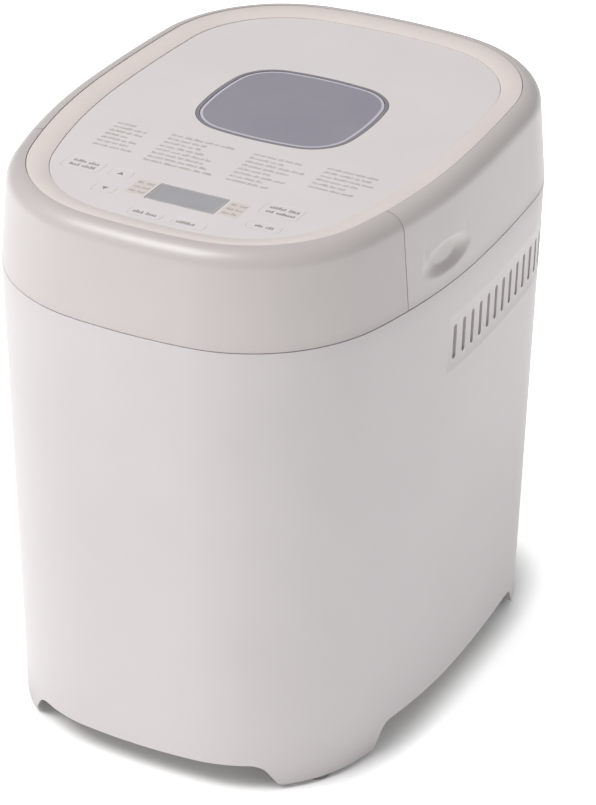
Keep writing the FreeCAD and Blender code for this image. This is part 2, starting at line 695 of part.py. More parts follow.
# ---- lid ------------------------------------------------------------------------------
def grip_place():
    x, y = quarter_point(HALF_W - 1, HALF_D - 1, CORNER_R - 1, BOWS[0], BOWS[2], GRIP_TURN)
    return x, y


def grip_capsule(radius, side):
    """Round-ended bar lying along the skirt; the finger grip is the part that bites in."""
    x, y = grip_place()
    lean = math.radians(90 - GRIP_TURN)
    out = Vec(math.cos(lean), -math.sin(lean), 0)
    along = Vec(math.sin(lean), math.cos(lean), 0)
    middle = Vec(x, y, GRIP_Z).add(out.multiply(GRIP_R - GRIP_DEPTH))
    step = along.multiply(GRIP_HALF_LENGTH)
    ends = [middle.sub(step), middle.add(step)]
    if side < 0:
        ends = [Vec(-p.x, p.y, p.z) for p in ends]
    balls = [Part.makeSphere(radius, p) for p in ends]
    return fused([rod(radius, ends[0], ends[1])] + balls)


def lid_knuckles():
    arms = []
    for middle in HINGE_MIDDLES:
        x0, x1 = middle - LID_KNUCKLE_HALF, middle + LID_KNUCKLE_HALF
        arm = box(x0, x1, HALF_D - 7, HINGE_Y, HINGE_Z - 0.5, HINGE_Z + KNUCKLE_R)
        arms.append(arm.fuse(hinge_eye(x0, x1)))
    return arms


def display_opening():
    return rounded_block(65.0, 23.0, 6.0, SHELF_TOP - 10, SHELF_TOP + 1, -4.0, -98.0)


def lid_shell():
    """Moulded lid: rear skirt and shoulder, the deck under the panel and the inner front wall."""
    edge_y = COLLAR_Y + FIT_GAP
    mouth = body_prism(CREST_INSET, SHELF_TOP, FAR)
    crown = crown_block()
    void = crown_block(WALL, WALL).fuse(body_prism(WALL, SEAM_Z - 5, SEAM_Z + 2))
    rear = crown.cut(mouth).cut(void).common(rear_half(edge_y))
    end = crown.common(box(-FAR, FAR, edge_y, edge_y + WALL, 0, FAR)).cut(mouth)
    end = end.cut(box(-86, 86, -FAR, FAR, 0, SHELF_TOP - SHELF_T))
    end = end.cut(box(-92, 92, -FAR, FAR, 0, COVER_Z[1] + 0.3))
    shelf = body_prism(CREST_INSET + RING_GAP, SHELF_TOP - SHELF_T, SHELF_TOP)
    wide_shelf = body_prism(6.5, SHELF_TOP - SHELF_T, SHELF_TOP).common(rear_half(edge_y))
    wall = body_prism(CREST_INSET + RING_GAP, COVER_Z[0], SHELF_TOP)
    wall = wall.cut(body_prism(CREST_INSET + RING_GAP + 2.2, 0, FAR)).common(front_half(edge_y + WALL))
    shell = fused([rear, end, shelf, wide_shelf, wall])
    for side in (-1, 1):
        shell = shell.fuse(grip_capsule(GRIP_R + WALL, side).common(void))
        shell = shell.cut(grip_capsule(GRIP_R, side))
    for arm in lid_knuckles():
        shell = shell.fuse(arm.cut(void))
    shell = shell.cut(window_prism(1.0, SHELF_TOP - 10, FAR))
    return shell.cut(display_opening()).cut(hinge_hole(PIN_R + RUN_FIT)).removeSplitter()


def trim_ring():
    outer = CREST_INSET + RING_GAP
    inner = outer + RING_W
    band = body_prism(outer, SHELF_TOP, CREST_Z).cut(body_prism(inner, 0, FAR))
    slope = Part.makeLoft(
        [body_wire(inner + 0.1, RING_INNER_Z), body_wire(CREST_INSET - 1, CREST_Z)], True, True
    )
    return band.cut(slope)


def key_block(name, shrink, z0, z1):
    x, y, width, depth = KEYS[name]
    return rounded_block(width / 2 - shrink, depth / 2 - shrink, 2.2 - shrink, z0, z1, x, y)


def top_panel():
    sheet = body_prism(CREST_INSET + RING_GAP + RING_W + 0.15, SHELF_TOP, PANEL_TOP)
    sheet = sheet.cut(window_prism(-0.15, 0, FAR))
    sheet = sheet.cut(rounded_block(*LCD_HALF, 1.0, 0, FAR, LCD_X, LCD_Y))
    for name in KEYS:
        sheet = sheet.cut(key_block(name, 0.0, 0, FAR))
    return sheet


def key_cap(name):
    cap = key_block(name, KEY_GAP, SHELF_TOP - 1, PANEL_TOP + KEY_PROUD)
    flange = key_block(name, -0.8, KEY_FLANGE_LOW, SHELF_TOP - 0.3)
    x, y = KEYS[name][:2]
    stem = post(2.0, KEY_STEM_LOW, KEY_FLANGE_LOW, x, y)
    return fused([cap, flange, stem])


def tact_switches():
    return group([box(x - 3, x + 3, y - 3, y + 3, BOARD_TOP, SWITCH_TOP) for x, y, w, d in KEYS.values()])


def display_board():
    return box(-60.0, 57.0, -116.5, -77.0, BOARD_TOP - BOARD_T, BOARD_TOP)


def lcd_module():
    half_x = LCD_HALF[0] + 1
    half_y = LCD_HALF[1] + 1
    across = (LCD_X - half_x, LCD_X + half_x, LCD_Y - half_y, LCD_Y + half_y)
    return box(*across, BOARD_TOP, SHELF_TOP - 0.2)


def lcd_lens():
    half_x, half_y = LCD_HALF
    return rounded_block(half_x - 0.15, half_y - 0.15, 0.9, SHELF_TOP - 0.2, PANEL_TOP - 0.1, LCD_X, LCD_Y)


def window_frame():
    """Dark ring in the panel with a light well down to the inner plate."""
    flange = window_prism(0.0, SHELF_TOP, PANEL_TOP)
    well = window_prism(1.3, DOME_Z + DOME_SHEET, SHELF_TOP)
    mouth = window_prism(1.8, SHELF_TOP - 0.4, FAR)
    return fused([flange, well]).cut(mouth).cut(window_prism(3.6, 0, FAR))


def window_glass():
    return window_prism(1.9, SHELF_TOP - 0.4, PANEL_TOP - 0.2)


def inner_window():
    return window_prism(3.7, DOME_Z + DOME_SHEET, DOME_Z + DOME_SHEET + 2.5)


def lid_inner_cover():
    low, high = COVER_Z
    edge_y = COLLAR_Y + FIT_GAP + WALL + 0.3
    front = body_prism(CREST_INSET + RING_GAP + 2.5, low, high)
    rear = body_prism(WALL + 0.6, low, high).common(rear_half(edge_y))
    plate = fused([front, rear]).cut(oven_block(0.3, 0, FAR))
    places = ((-48, -112), (46, -112), (-54, -94), (52, -94))
    posts = [post(3.0, high, BOARD_TOP - BOARD_T, x, y) for x, y in places]
    return fused([plate] + posts)


def lid_inner_plate():
    dome = oven_block(0.0, COVER_Z[0] - 1, DOME_Z + DOME_SHEET)
    flange = oven_block(7.0, COVER_Z[0] - 1, COVER_Z[0])
    room = oven_block(-DOME_SHEET, 0, DOME_Z)
    return fused([dome, flange]).cut(room).cut(window_prism(7.0, 0, FAR))


def lid_gasket():
    low = DECK_Z[1] + 1.3
    return oven_block(6.0, low, COVER_Z[0] - 1).cut(oven_block(1.8, 0, FAR))


def lid_screws():
    places = [(-60, -100), (60, -100), (-98, 0), (98, 0), (-60, 129), (60, 129)]
    return group([post(3.0, COVER_Z[0] - 1.4, COVER_Z[0], x, y) for x, y in places])


def hinge_pins():
    reach = LID_KNUCKLE_HALF + LUG_GAP + LUG_W
    return group([
        rod(PIN_R, Vec(x - reach, HINGE_Y, HINGE_Z), Vec(x + reach, HINGE_Y, HINGE_Z)) for x in HINGE_MIDDLES
    ])


SUBPARTS = [
    outer_casing, base_plate, rubber_feet, case_screws, front_collar, top_deck, cord_inlet, hinge_pins,
    oven_chamber, temperature_sensor, thermal_fuse, heating_element, heater_terminals, heater_brackets,
    pan_seat, drive_bridge, bearing_housing, drive_shaft, drive_pulley, drive_coupling, drive_belt,
    motor, motor_bracket, motor_shaft, motor_pulley, power_board, board_components,
    bread_pan, pan_base_ring, pan_bush, pan_handle, blade_shaft, wing_coupling, kneading_blade,
    lid_shell, trim_ring, top_panel, window_frame, window_glass, inner_window, lid_inner_cover,
    lid_inner_plate, lid_gasket, lid_screws, lcd_lens, lcd_module, display_board, tact_switches,
]

for make in SUBPARTS:
    save(make.__name__, make())
for key_name in KEYS:
    save(key_name, key_cap(key_name))
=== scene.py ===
# %% [markdown]
# A bread machine, dressed for its portrait.
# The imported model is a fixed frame: every shape has its final place, in metres, with the
# floor at z = 0, the vents on +X and the hinge on +Y. This lesson gives the frame its looks:
# smooth moulded shells, a printed top panel, glass, and a finish for each hidden piece.

# %% Load the frame and keep its box
import math
import random

import bmesh
import bpy
from mathutils import Matrix, Vector


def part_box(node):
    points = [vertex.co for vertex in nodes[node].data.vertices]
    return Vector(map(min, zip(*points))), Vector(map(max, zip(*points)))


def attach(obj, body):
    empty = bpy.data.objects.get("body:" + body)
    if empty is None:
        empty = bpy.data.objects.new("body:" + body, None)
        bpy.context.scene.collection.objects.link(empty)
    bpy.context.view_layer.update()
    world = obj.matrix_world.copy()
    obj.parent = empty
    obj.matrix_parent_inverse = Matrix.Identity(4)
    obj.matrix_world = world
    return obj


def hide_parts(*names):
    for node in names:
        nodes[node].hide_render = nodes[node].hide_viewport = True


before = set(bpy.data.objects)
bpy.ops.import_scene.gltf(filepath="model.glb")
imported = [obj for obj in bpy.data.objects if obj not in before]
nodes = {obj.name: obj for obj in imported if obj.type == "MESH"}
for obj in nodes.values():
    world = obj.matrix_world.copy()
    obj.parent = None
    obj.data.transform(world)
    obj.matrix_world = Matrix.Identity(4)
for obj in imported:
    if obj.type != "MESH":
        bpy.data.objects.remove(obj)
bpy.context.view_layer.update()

MM = 0.001
print("pieces in the frame:", len(nodes))

# %% [markdown]
# The machine seen from above is one outline: wide, almost flat arcs for the sides and ends,
# joined by large round corners, all tangent. A spline would wander between its points, so
# the outline is worked out from the arcs themselves. Moving every point along its own
# outward direction gives a parallel outline, so one function serves casing, lid and trim.

# %% The plan outline, from its arcs
HALF_WIDTH = 110 * MM
HALF_DEPTH = 145 * MM
CORNER = 79 * MM
BOWS = (6.0, 8.0, 15.5, 5.0)  # front, rear, side towards the front, side towards the rear
MIDDLE_Y = (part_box("base_plate")[0].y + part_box("base_plate")[1].y) / 2


def quarter(half_width, half_depth, corner, end_bow, side_bow, spacing):
    """Points and turns from the middle of an end to the middle of a side, for +x, -y."""
    a = math.radians(end_bow)
    b = math.radians(90 - side_bow)
    run_x = half_width - corner * (math.sin(b) - math.sin(a))
    run_y = half_depth - corner * (math.cos(a) - math.cos(b))
    det = math.sin(a) * math.cos(b) - (1 - math.sin(b)) * (1 - math.cos(a))
    end_r = (run_x * math.cos(b) - (1 - math.sin(b)) * run_y) / det
    side_r = (math.sin(a) * run_y - (1 - math.cos(a)) * run_x) / det
    x, y = 0.0, -half_depth
    found = []
    for radius, start, end in ((end_r, 0, a), (corner, a, b), (side_r, b, math.pi / 2)):
        steps = max(4, round(radius * (end - start) / spacing))
        for i in range(steps):
            turn = start + (end - start) * i / steps
            here_x = x + radius * (math.sin(turn) - math.sin(start))
            here_y = y + radius * (math.cos(start) - math.cos(turn))
            found.append((here_x, here_y, turn))
        x += radius * (math.sin(end) - math.sin(start))
        y += radius * (math.cos(start) - math.cos(end))
    return found + [(x, y, math.pi / 2)]


def outline(half_width, half_depth, corner, bows, middle_y, spacing=3 * MM):
    """Closed list of (x, y), counter-clockwise from the middle of the front."""
    front, rear, side_front, side_rear = bows
    ahead = quarter(half_width, half_depth, corner, front, side_front, spacing)
    behind = quarter(half_width, half_depth, corner, rear, side_rear, spacing)
    right = [(x, y) for x, y, turn in ahead] + [(x, -y) for x, y, turn in behind[-2::-1]]
    left = [(-x, y) for x, y in right[-2:0:-1]]
    return [(x, y + middle_y) for x, y in right + left]


def body_outline(spacing=3 * MM):
    return outline(HALF_WIDTH, HALF_DEPTH, CORNER, BOWS, MIDDLE_Y, spacing)


print("outline points:", len(body_outline()), "middle of the body at y =", round(MIDDLE_Y, 4))

# %% [markdown]
# Most moulded parts here are one cross-section carried round that outline. Geometry Nodes
# do this with Curve to Mesh: the outline's normals are held level, so the section's first
# axis points outwards and its second runs down. One tree with named inputs makes them all.

# %% A helper that adds a node, and the tree that carries a section round an outline
def add(tree, kind, inputs=None, **settings):
    """Add one node with its settings, values and links."""
    node = tree.nodes.new(kind)
    for name, value in settings.items():
        setattr(node, name, value)
    for name, value in (inputs or {}).items():
        socket = node.inputs[name]
        if isinstance(value, bpy.types.NodeSocket):
            tree.links.new(value, socket)
        else:
            socket.default_value = value
    return node


def new_tree(name, sockets):
    """Geometry tree with a geometry in and out, and the named inputs."""
    tree = bpy.data.node_groups.new(name, "GeometryNodeTree")
    tree.interface.new_socket("Geometry", in_out="OUTPUT", socket_type="NodeSocketGeometry")
    tree.interface.new_socket("Geometry", in_out="INPUT", socket_type="NodeSocketGeometry")
    for label, kind in sockets:
        tree.interface.new_socket(label, in_out="INPUT", socket_type=kind)
    return tree, tree.nodes.new("NodeGroupInput").outputs


def end_tree(tree, made, finish):
    """End of every tree that makes a piece: real geometry, one finish, and out."""
    real = add(tree, "GeometryNodeRealizeInstances", {"Geometry": made.outputs[0]})
    done = add(tree, "GeometryNodeSetMaterial", {"Geometry": real.outputs[0], "Material": finish})
    add(tree, "NodeGroupOutput", {"Geometry": done.outputs[0]})
    return tree


def section_round_outline():
    tree, given = new_tree("section_round_outline", [
        ("Section", "NodeSocketObject"), ("Close Ends", "NodeSocketBool"),
        ("Finish", "NodeSocketMaterial"),
    ])
    path = add(tree, "GeometryNodeMeshToCurve", {"Mesh": given["Geometry"]})
    level = add(tree, "GeometryNodeSetCurveNormal", {"Curve": path.outputs[0]}, mode="Z_UP")
    source = add(tree, "GeometryNodeObjectInfo", {"Object": given["Section"]})
    section = add(tree, "GeometryNodeMeshToCurve", {"Mesh": source.outputs["Geometry"]})
    swept = add(tree, "GeometryNodeCurveToMesh", {
        "Curve": level.outputs[0], "Profile Curve": section.outputs[0],
        "Fill Caps": given["Close Ends"],
    })
    return end_tree(tree, swept, given["Finish"])


SWEEP = section_round_outline()
print("sweep tree ready:", len(SWEEP.nodes), "nodes")


# %% Running a tree, and small mesh helpers
def finished(piece, finish):
    """Give every face of the piece one finish."""
    piece.data.materials.clear()
    piece.data.materials.append(finish)
    for face in piece.data.polygons:
        face.material_index = 0


def run_tree(piece, tree, values):
    """Give the piece the tree's result as a plain mesh."""
    modifier = piece.modifiers.new(tree.name, "NODES")
    modifier.node_group = tree
    for item in tree.interface.items_tree:
        if item.in_out == "INPUT" and item.name in values:
            modifier[item.identifier] = values[item.name]
    graph = bpy.context.evaluated_depsgraph_get()
    made = bpy.data.meshes.new_from_object(piece.evaluated_get(graph))
    piece.modifiers.remove(modifier)
    piece.data = made
    if "Finish" in values:
        finished(piece, values["Finish"])
    return piece


def new_piece(name, points, edges=(), faces=()):
    mesh = bpy.data.meshes.new(name)
    mesh.from_pydata(points, edges, faces)
    piece = bpy.data.objects.new(name, mesh)
    bpy.context.scene.collection.objects.link(piece)
    return piece


def wire(name, points, closed=True):
    count = len(points)
    last = count if closed else count - 1
    return new_piece(name, points, [(i, (i + 1) % count) for i in range(last)])


def discard(piece):
    bpy.data.objects.remove(piece)


def tidy_normals(piece, sharp_degrees=35):
    """Merge doubles, turn every face outwards, and shade smooth between sharp edges."""
    work = bmesh.new()
    work.from_mesh(piece.data)
    bmesh.ops.remove_doubles(work, verts=work.verts, dist=0.002 * MM)
    bmesh.ops.recalc_face_normals(work, faces=work.faces)
    work.to_mesh(piece.data)
    work.free()
    piece.data.polygons.foreach_set("use_smooth", [True] * len(piece.data.polygons))
    piece.data.set_sharp_from_angle(angle=math.radians(sharp_degrees))
    for face in piece.data.polygons:
        if abs(face.normal.z) > 0.9999:
            face.use_smooth = False
    piece.data.update()
    return piece


def carried(name, plan, section, finish=None, closed=True, close_section=True):
    """Carry a section of (outwards, height) points round a plan outline."""
    piece = wire(name, [(x, y, 0) for x, y in plan], closed)
    profile = wire(name + "_section", [(out, -high, 0) for out, high in section], close_section)
    values = {"Section": profile, "Close Ends": not closed}
    if finish:
        values["Finish"] = finish
    run_tree(piece, SWEEP, values)
    discard(profile)
    return tidy_normals(piece)


print("mesh helpers ready: finished, run_tree, new_piece, wire, tidy_normals, carried")

# %% [markdown]
# Openings are cut by booleans from closed cutters. The exact solver keeps the fine quads
# around each cut, so the surface still shades as one smooth wall.

# %% Cutting and joining
def combined(piece, tool, how="DIFFERENCE"):
    modifier = piece.modifiers.new("cut", "BOOLEAN")
    modifier.object = tool
    modifier.operation = how
    modifier.solver = "EXACT"
    graph = bpy.context.evaluated_depsgraph_get()
    made = bpy.data.meshes.new_from_object(piece.evaluated_get(graph))
    piece.modifiers.remove(modifier)
    piece.data = made
    discard(tool)
    return piece


def joined(piece, *others):
    """Append other pieces' meshes, as closed shells of their own, with their finishes."""
    work = bmesh.new()
    work.from_mesh(piece.data)
    for other in others:
        before = len(work.faces)
        work.from_mesh(other.data)
        work.faces.ensure_lookup_table()
        finish = other.data.materials[0]
        if finish.name not in piece.data.materials:
            piece.data.materials.append(finish)
        index = piece.data.materials.find(finish.name)
        for face in work.faces[before:]:
            face.material_index = index
        discard(other)
    work.to_mesh(piece.data)
    work.free()
    return piece


def half_kept(piece, edge_y, keep_rear):
    """Keep one side of an upright cross plane and close the cut."""
    work = bmesh.new()
    work.from_mesh(piece.data)
    everything = work.verts[:] + work.edges[:] + work.faces[:]
    bmesh.ops.bisect_plane(
        work, geom=everything, plane_co=(0, edge_y, 0), plane_no=(0, 1, 0),
        clear_inner=keep_rear, clear_outer=not keep_rear,
    )
    rims = [edge for edge in work.edges if edge.is_boundary]
    bmesh.ops.contextual_create(work, geom=rims)
    open_rims = [edge for edge in work.edges if edge.is_boundary]
    bmesh.ops.holes_fill(work, edges=open_rims)
    work.to_mesh(piece.data)
    work.free()
    return tidy_normals(piece)


def round_arc(centre, radius, start, end, steps):
    """Points of an arc in the section plane, angles in degrees."""
    found = []
    for i in range(steps + 1):
        angle = math.radians(start + (end - start) * i / steps)
        found.append((centre[0] + radius * math.cos(angle), centre[1] + radius * math.sin(angle)))
    return found


print("cutting tools ready")

# %% [markdown]
# Colours are picked as sRGB hex values, as they look under even light. Blender mixes light
# in linear values, so one function converts them. Each finish below is named for the real
# material and for how its surface was made.

# %% Colour and material helpers
def linear(hex_colour):
    """sRGB hex to the linear values that a shader takes."""
    parts = [int(hex_colour[i:i + 2], 16) / 255 for i in (1, 3, 5)]
    return tuple(c / 12.92 if c <= 0.04045 else ((c + 0.055) / 1.055) ** 2.4 for c in parts) + (1.0,)


def new_finish(name, **values):
    """Material with one Principled shader; values are its plain sockets."""
    finish = bpy.data.materials.new(name)
    finish.use_nodes = True
    tree = finish.node_tree
    shader = tree.nodes["Principled BSDF"]
    for label, value in values.items():
        shader.inputs[label.replace("_", " ")].default_value = value
    place = add(tree, "ShaderNodeTexCoord").outputs["Object"]
    return finish, tree, shader, place


LOW_TONE_UP_TO, HIGH_TONE_FROM = 0.3, 0.7
RELIEF_STRENGTH = 0.5


def mottled(tree, shader, place, low, high, size_mm, detail=3.0):
    """Let the base colour drift between two near tones at a real size."""
    noise = add(tree, "ShaderNodeTexNoise", {
        "Vector": place, "Scale": 1000 / size_mm, "Detail": detail,
    })
    ramp = add(tree, "ShaderNodeValToRGB", {"Fac": noise.outputs["Fac"]})
    ramp.color_ramp.elements[0].position = LOW_TONE_UP_TO
    ramp.color_ramp.elements[1].position = HIGH_TONE_FROM
    ramp.color_ramp.elements[0].color = linear(low)
    ramp.color_ramp.elements[1].color = linear(high)
    tree.links.new(ramp.outputs["Color"], shader.inputs["Base Color"])
    return ramp


def grained(tree, shader, place, size_mm, height_mm, low_rough, high_rough):
    """Fine surface relief, with a roughness that varies along with it."""
    noise = add(tree, "ShaderNodeTexNoise", {"Vector": place, "Scale": 1000 / size_mm, "Detail": 4.0})
    rough = add(tree, "ShaderNodeMapRange", {
        "Value": noise.outputs["Fac"], "To Min": low_rough, "To Max": high_rough,
    })
    bump = add(tree, "ShaderNodeBump", {
        "Height": noise.outputs["Fac"], "Distance": height_mm * MM, "Strength": RELIEF_STRENGTH,
    })
    tree.links.new(rough.outputs["Result"], shader.inputs["Roughness"])
    tree.links.new(bump.outputs["Normal"], shader.inputs["Normal"])
    return noise


print("white in linear values:", [round(c, 3) for c in linear("#ffffff")])

# %% [markdown]
# The shell is injection-moulded ABS, off-white and slightly warm. Its polished mould leaves
# a soft gloss with a very shallow unevenness, which breaks up reflections a little.
# Casing, lid and collar come from separate moulds and batches, so their tones differ by a
# hair. The vent baffle behind the slots is a warmer moulding of its own.

# %% Moulded plastics
def moulded_abs(name, low, high, low_rough=0.4, high_rough=0.46, gloss=0.0):
    finish, tree, shader, place = new_finish(name, IOR=1.53, Coat_Weight=gloss, Coat_Roughness=0.3)
    mottled(tree, shader, place, low, high, 60)
    grained(tree, shader, place, 0.9, 0.003, low_rough, high_rough)
    return finish


CASING_ABS = moulded_abs("moulded_abs_casing", "#B7B1B2", "#BAB4B5", gloss=0.15)
LID_ABS = moulded_abs("moulded_abs_lid", "#B5AFAD", "#B8B2B0", gloss=0.35)
COLLAR_ABS = moulded_abs("moulded_abs_collar", "#B0A9A8", "#B3ACAB", gloss=0.35)
BAFFLE_ABS = moulded_abs("moulded_abs_baffle", "#D8C8C0", "#DBCBC3")
INNER_PPS = moulded_abs("moulded_heatproof_grey", "#9C9895", "#A3A09D", 0.5, 0.62)
NYLON = moulded_abs("natural_nylon", "#DAD7CD", "#E2DFD6", 0.45, 0.6)
BLACK_PLASTIC = moulded_abs("black_component_plastic", "#1B1B1D", "#26262A", 0.4, 0.55)
print("plastics:", CASING_ABS.name, LID_ABS.name, INNER_PPS.name)

# %% [markdown]
# The sloped ring is ABS under a satin champagne paint: mica in the paint gives it a faint
# sparkle that shows as tiny changes of roughness. The panel is a screen-printed
# polycarbonate sheet, flatter and a little cooler in tone.

# %% Painted ring and printed sheet
def champagne_paint():
    finish, tree, shader, place = new_finish(
        "champagne_satin_paint", IOR=1.5, Coat_Weight=0.25, Coat_Roughness=0.25,
    )
    mottled(tree, shader, place, "#CDC4C0", "#D1C8C4", 25)
    grained(tree, shader, place, 0.5, 0.006, 0.34, 0.5)
    return finish


def printed_polycarbonate(name, low, high):
    finish, tree, shader, place = new_finish(name, IOR=1.58)
    mottled(tree, shader, place, low, high, 40)
    grained(tree, shader, place, 0.8, 0.004, 0.45, 0.55)
    return finish


RING_PAINT = champagne_paint()
PANEL_SHEET = printed_polycarbonate("printed_polycarbonate_sheet", "#CAC5C4", "#CDC8C7")
PANEL_BEIGE = printed_polycarbonate("printed_beige_field", "#C5BCB8", "#C9C0BC")
GREY_INK = printed_polycarbonate("screen_print_grey_ink", "#A29B97", "#ABA4A0")
# The pale band on the pane's edge is a painted reflection of the pane's bevel, laid on as a thin film.
PAINTED_EDGE_REFLECTION = printed_polycarbonate("painted_edge_reflection", "#B3B0BB", "#B9B6C1")
DARK_FRIT = printed_polycarbonate("dark_ceramic_frit", "#8C8893", "#94909B")
DARK_INK = printed_polycarbonate("screen_print_dark_ink", "#88817D", "#908985")
print("top finishes:", RING_PAINT.name, PANEL_SHEET.name)

# %% [markdown]
# The window is grey-tinted glass over a dark light well. The pane passes some light and
# keeps a clear reflection; its ring is glossy dark polycarbonate. The display is a grey
# liquid-crystal cell behind its own clear pane.

# %% Glass, display and dark ring
def tinted_glass():
    finish, tree, shader, place = new_finish(
        "smoke_tinted_glass", IOR=1.5, Transmission_Weight=0.25, Specular_IOR_Level=0.5,
    )
    mottled(tree, shader, place, "#96939F", "#9C99A4", 45)
    grained(tree, shader, place, 30.0, 0.01, 0.04, 0.09)
    return finish


def clear_glass():
    finish, tree, shader, place = new_finish("clear_oven_glass", IOR=1.5, Transmission_Weight=0.95)
    mottled(tree, shader, place, "#E8ECEC", "#F2F5F5", 30)
    grained(tree, shader, place, 12.0, 0.004, 0.02, 0.08)
    return finish


def smoked_polycarbonate():
    finish, tree, shader, place = new_finish("smoked_polycarbonate_ring", IOR=1.58, Coat_Weight=0.4)
    mottled(tree, shader, place, "#736E76", "#7D7880", 20)
    grained(tree, shader, place, 2.0, 0.004, 0.18, 0.28)
    return finish


def liquid_crystal():
    finish, tree, shader, place = new_finish(
        "liquid_crystal_cell", IOR=1.5, Coat_Weight=0.6, Coat_Roughness=0.08,
    )
    mottled(tree, shader, place, "#929197", "#99989E", 18)
    grained(tree, shader, place, 0.6, 0.002, 0.28, 0.36)
    return finish


WINDOW_GLASS = tinted_glass()
OVEN_GLASS = clear_glass()
DARK_RING = smoked_polycarbonate()
DISPLAY = liquid_crystal()
print("see-through and dark finishes ready")

# %% [markdown]
# Metals keep their default IOR. Sheet steel and the bail are brushed or drawn, so their
# grain is stretched along one axis; the pan wears a dark non-stick coat with a fine fleck.

# %% Metals, rubber and the rest
def metal(name, low, high, low_rough, high_rough, stretch=(1, 1, 1), size_mm=2.0):
    finish, tree, shader, place = new_finish(name, Metallic=1.0)
    turned = add(tree, "ShaderNodeMapping", {"Vector": place, "Scale": stretch}).outputs[0]
    mottled(tree, shader, turned, low, high, 6 * size_mm)
    grained(tree, shader, turned, size_mm, 0.01, low_rough, high_rough)
    return finish


FLECK_MM, TRACK_MM = 1.6, 18


def non_stick_coat():
    finish, tree, shader, place = new_finish("non_stick_coating", IOR=1.4, Coat_Weight=0.15)
    cells = add(tree, "ShaderNodeTexVoronoi", {"Vector": place, "Scale": 1000 / FLECK_MM})
    fleck = add(tree, "ShaderNodeValToRGB", {"Fac": cells.outputs["Distance"]})
    fleck.color_ramp.elements[0].position = 0.08
    fleck.color_ramp.elements[1].position = 0.16
    fleck.color_ramp.elements[0].color = linear("#6E6E72")
    fleck.color_ramp.elements[1].color = linear("#353539")
    tree.links.new(fleck.outputs["Color"], shader.inputs["Base Color"])
    grained(tree, shader, place, 0.7, 0.02, 0.32, 0.48)
    return finish


def moulded_rubber():
    finish, tree, shader, place = new_finish("moulded_rubber", IOR=1.52, Specular_IOR_Level=0.35)
    mottled(tree, shader, place, "#76706E", "#827B79", 8)
    grained(tree, shader, place, 0.6, 0.03, 0.65, 0.85)
    return finish


def circuit_laminate():
    finish, tree, shader, place = new_finish("circuit_board_laminate", IOR=1.55, Coat_Weight=0.3)
    waves = add(tree, "ShaderNodeTexWave", {
        "Vector": place, "Scale": 1000 / TRACK_MM, "Distortion": 6.0,
    })
    tracks = add(tree, "ShaderNodeValToRGB", {"Fac": waves.outputs["Fac"]})
    tracks.color_ramp.elements[0].color = linear("#1D5A38")
    tracks.color_ramp.elements[1].color = linear("#2C7048")
    tree.links.new(tracks.outputs["Color"], shader.inputs["Base Color"])
    grained(tree, shader, place, 1.2, 0.01, 0.35, 0.45)
    return finish


print("helpers for metal, coat, rubber and laminate ready")

# %% The metals and the rest, made
BRUSHED_STEEL = metal("brushed_stainless_steel", "#B9B9B8", "#C9C9C7", 0.22, 0.4, (1, 12, 1))
ALUMINISED = metal("aluminised_oven_sheet", "#BDBEC0", "#CDCED0", 0.3, 0.5)
HEATER_SHEATH = metal("oxidised_heater_sheath", "#55504C", "#6A645F", 0.4, 0.6)
BRONZE = metal("sintered_bronze", "#B08D4F", "#BE9C60", 0.35, 0.55)
ZINC_CAN = metal("zinc_plated_can", "#9B9DA0", "#ABADB0", 0.3, 0.45)
DIE_CAST = metal("die_cast_alloy", "#8F9092", "#9D9EA0", 0.45, 0.6)
NON_STICK = non_stick_coat()
RUBBER = moulded_rubber()
BOARD = circuit_laminate()
STEATITE = moulded_abs("steatite_ceramic", "#EAE6DA", "#F2EFE5", 0.5, 0.7)
print("metals and the rest ready")

# %% [markdown]
# The casing is one deep ABS moulding. Its walls lean in by 1.33 degrees from the seam down,
# the draft that lets it leave the mould. The wall is a section swept round the outline, with
# a fine round on each rim. The arches between the four corner legs are cut from below by two
# long prisms; their ends run down to each leg in a soft S, with no corner to crack.

# %% The casing wall with its arches
SEAM = 245 * MM
WALL = 2.6 * MM
LEG_BOTTOM = 2.5 * MM
DRAFT = math.tan(math.radians(1.33))
RIM = 0.3 * MM
WALL_STEP = 8 * MM
ARCH_TOP = 15 * MM
ARCH_CORNER = 9 * MM
ARCH_TOE = 3.5 * MM
ARCH_SLOPE = 60
ARCH_HALF_WIDTH = 65.5 * MM
ARCH_FRONT, ARCH_REAR = -69.5 * MM, 77.5 * MM
ARCH_REACH = 200 * MM


def drafted(high):
    """How far the casing's outside stands from the seam outline at a height."""
    return -(SEAM - high) * DRAFT


def casing_section():
    foot = round_arc((drafted(LEG_BOTTOM) - RIM, LEG_BOTTOM + RIM), RIM, -90, 0, 4)
    heights = [LEG_BOTTOM + RIM + i * WALL_STEP for i in range(1, 30)]
    wall = [(drafted(high), high) for high in heights if high < SEAM - WALL_STEP / 2]
    top = round_arc((-RIM, SEAM - RIM), RIM, 0, 90, 4)
    inside = [(drafted(high) - WALL, high) for high in (SEAM, SEAM / 2, LEG_BOTTOM)]
    return foot + wall + top + inside


PRISM_TURNS = {
    "x": lambda a, b, c: (c, a, b),
    "y": lambda a, b, c: (a, c, b),
    "z": lambda a, b, c: (a, b, c),
}


def prism(name, shape, low, high, axis):
    """Closed prism of a counter-clockwise (a, b) shape, from low to high along an axis."""
    turn = PRISM_TURNS[axis]
    count = len(shape)
    points = [turn(a, b, c) for c in (low, high) for a, b in shape]
    sides = [(i, (i + 1) % count, count + (i + 1) % count, count + i) for i in range(count)]
    caps = [tuple(range(count))[::-1], tuple(range(count, 2 * count))]
    return tidy_normals(new_piece(name, points, faces=sides + caps))


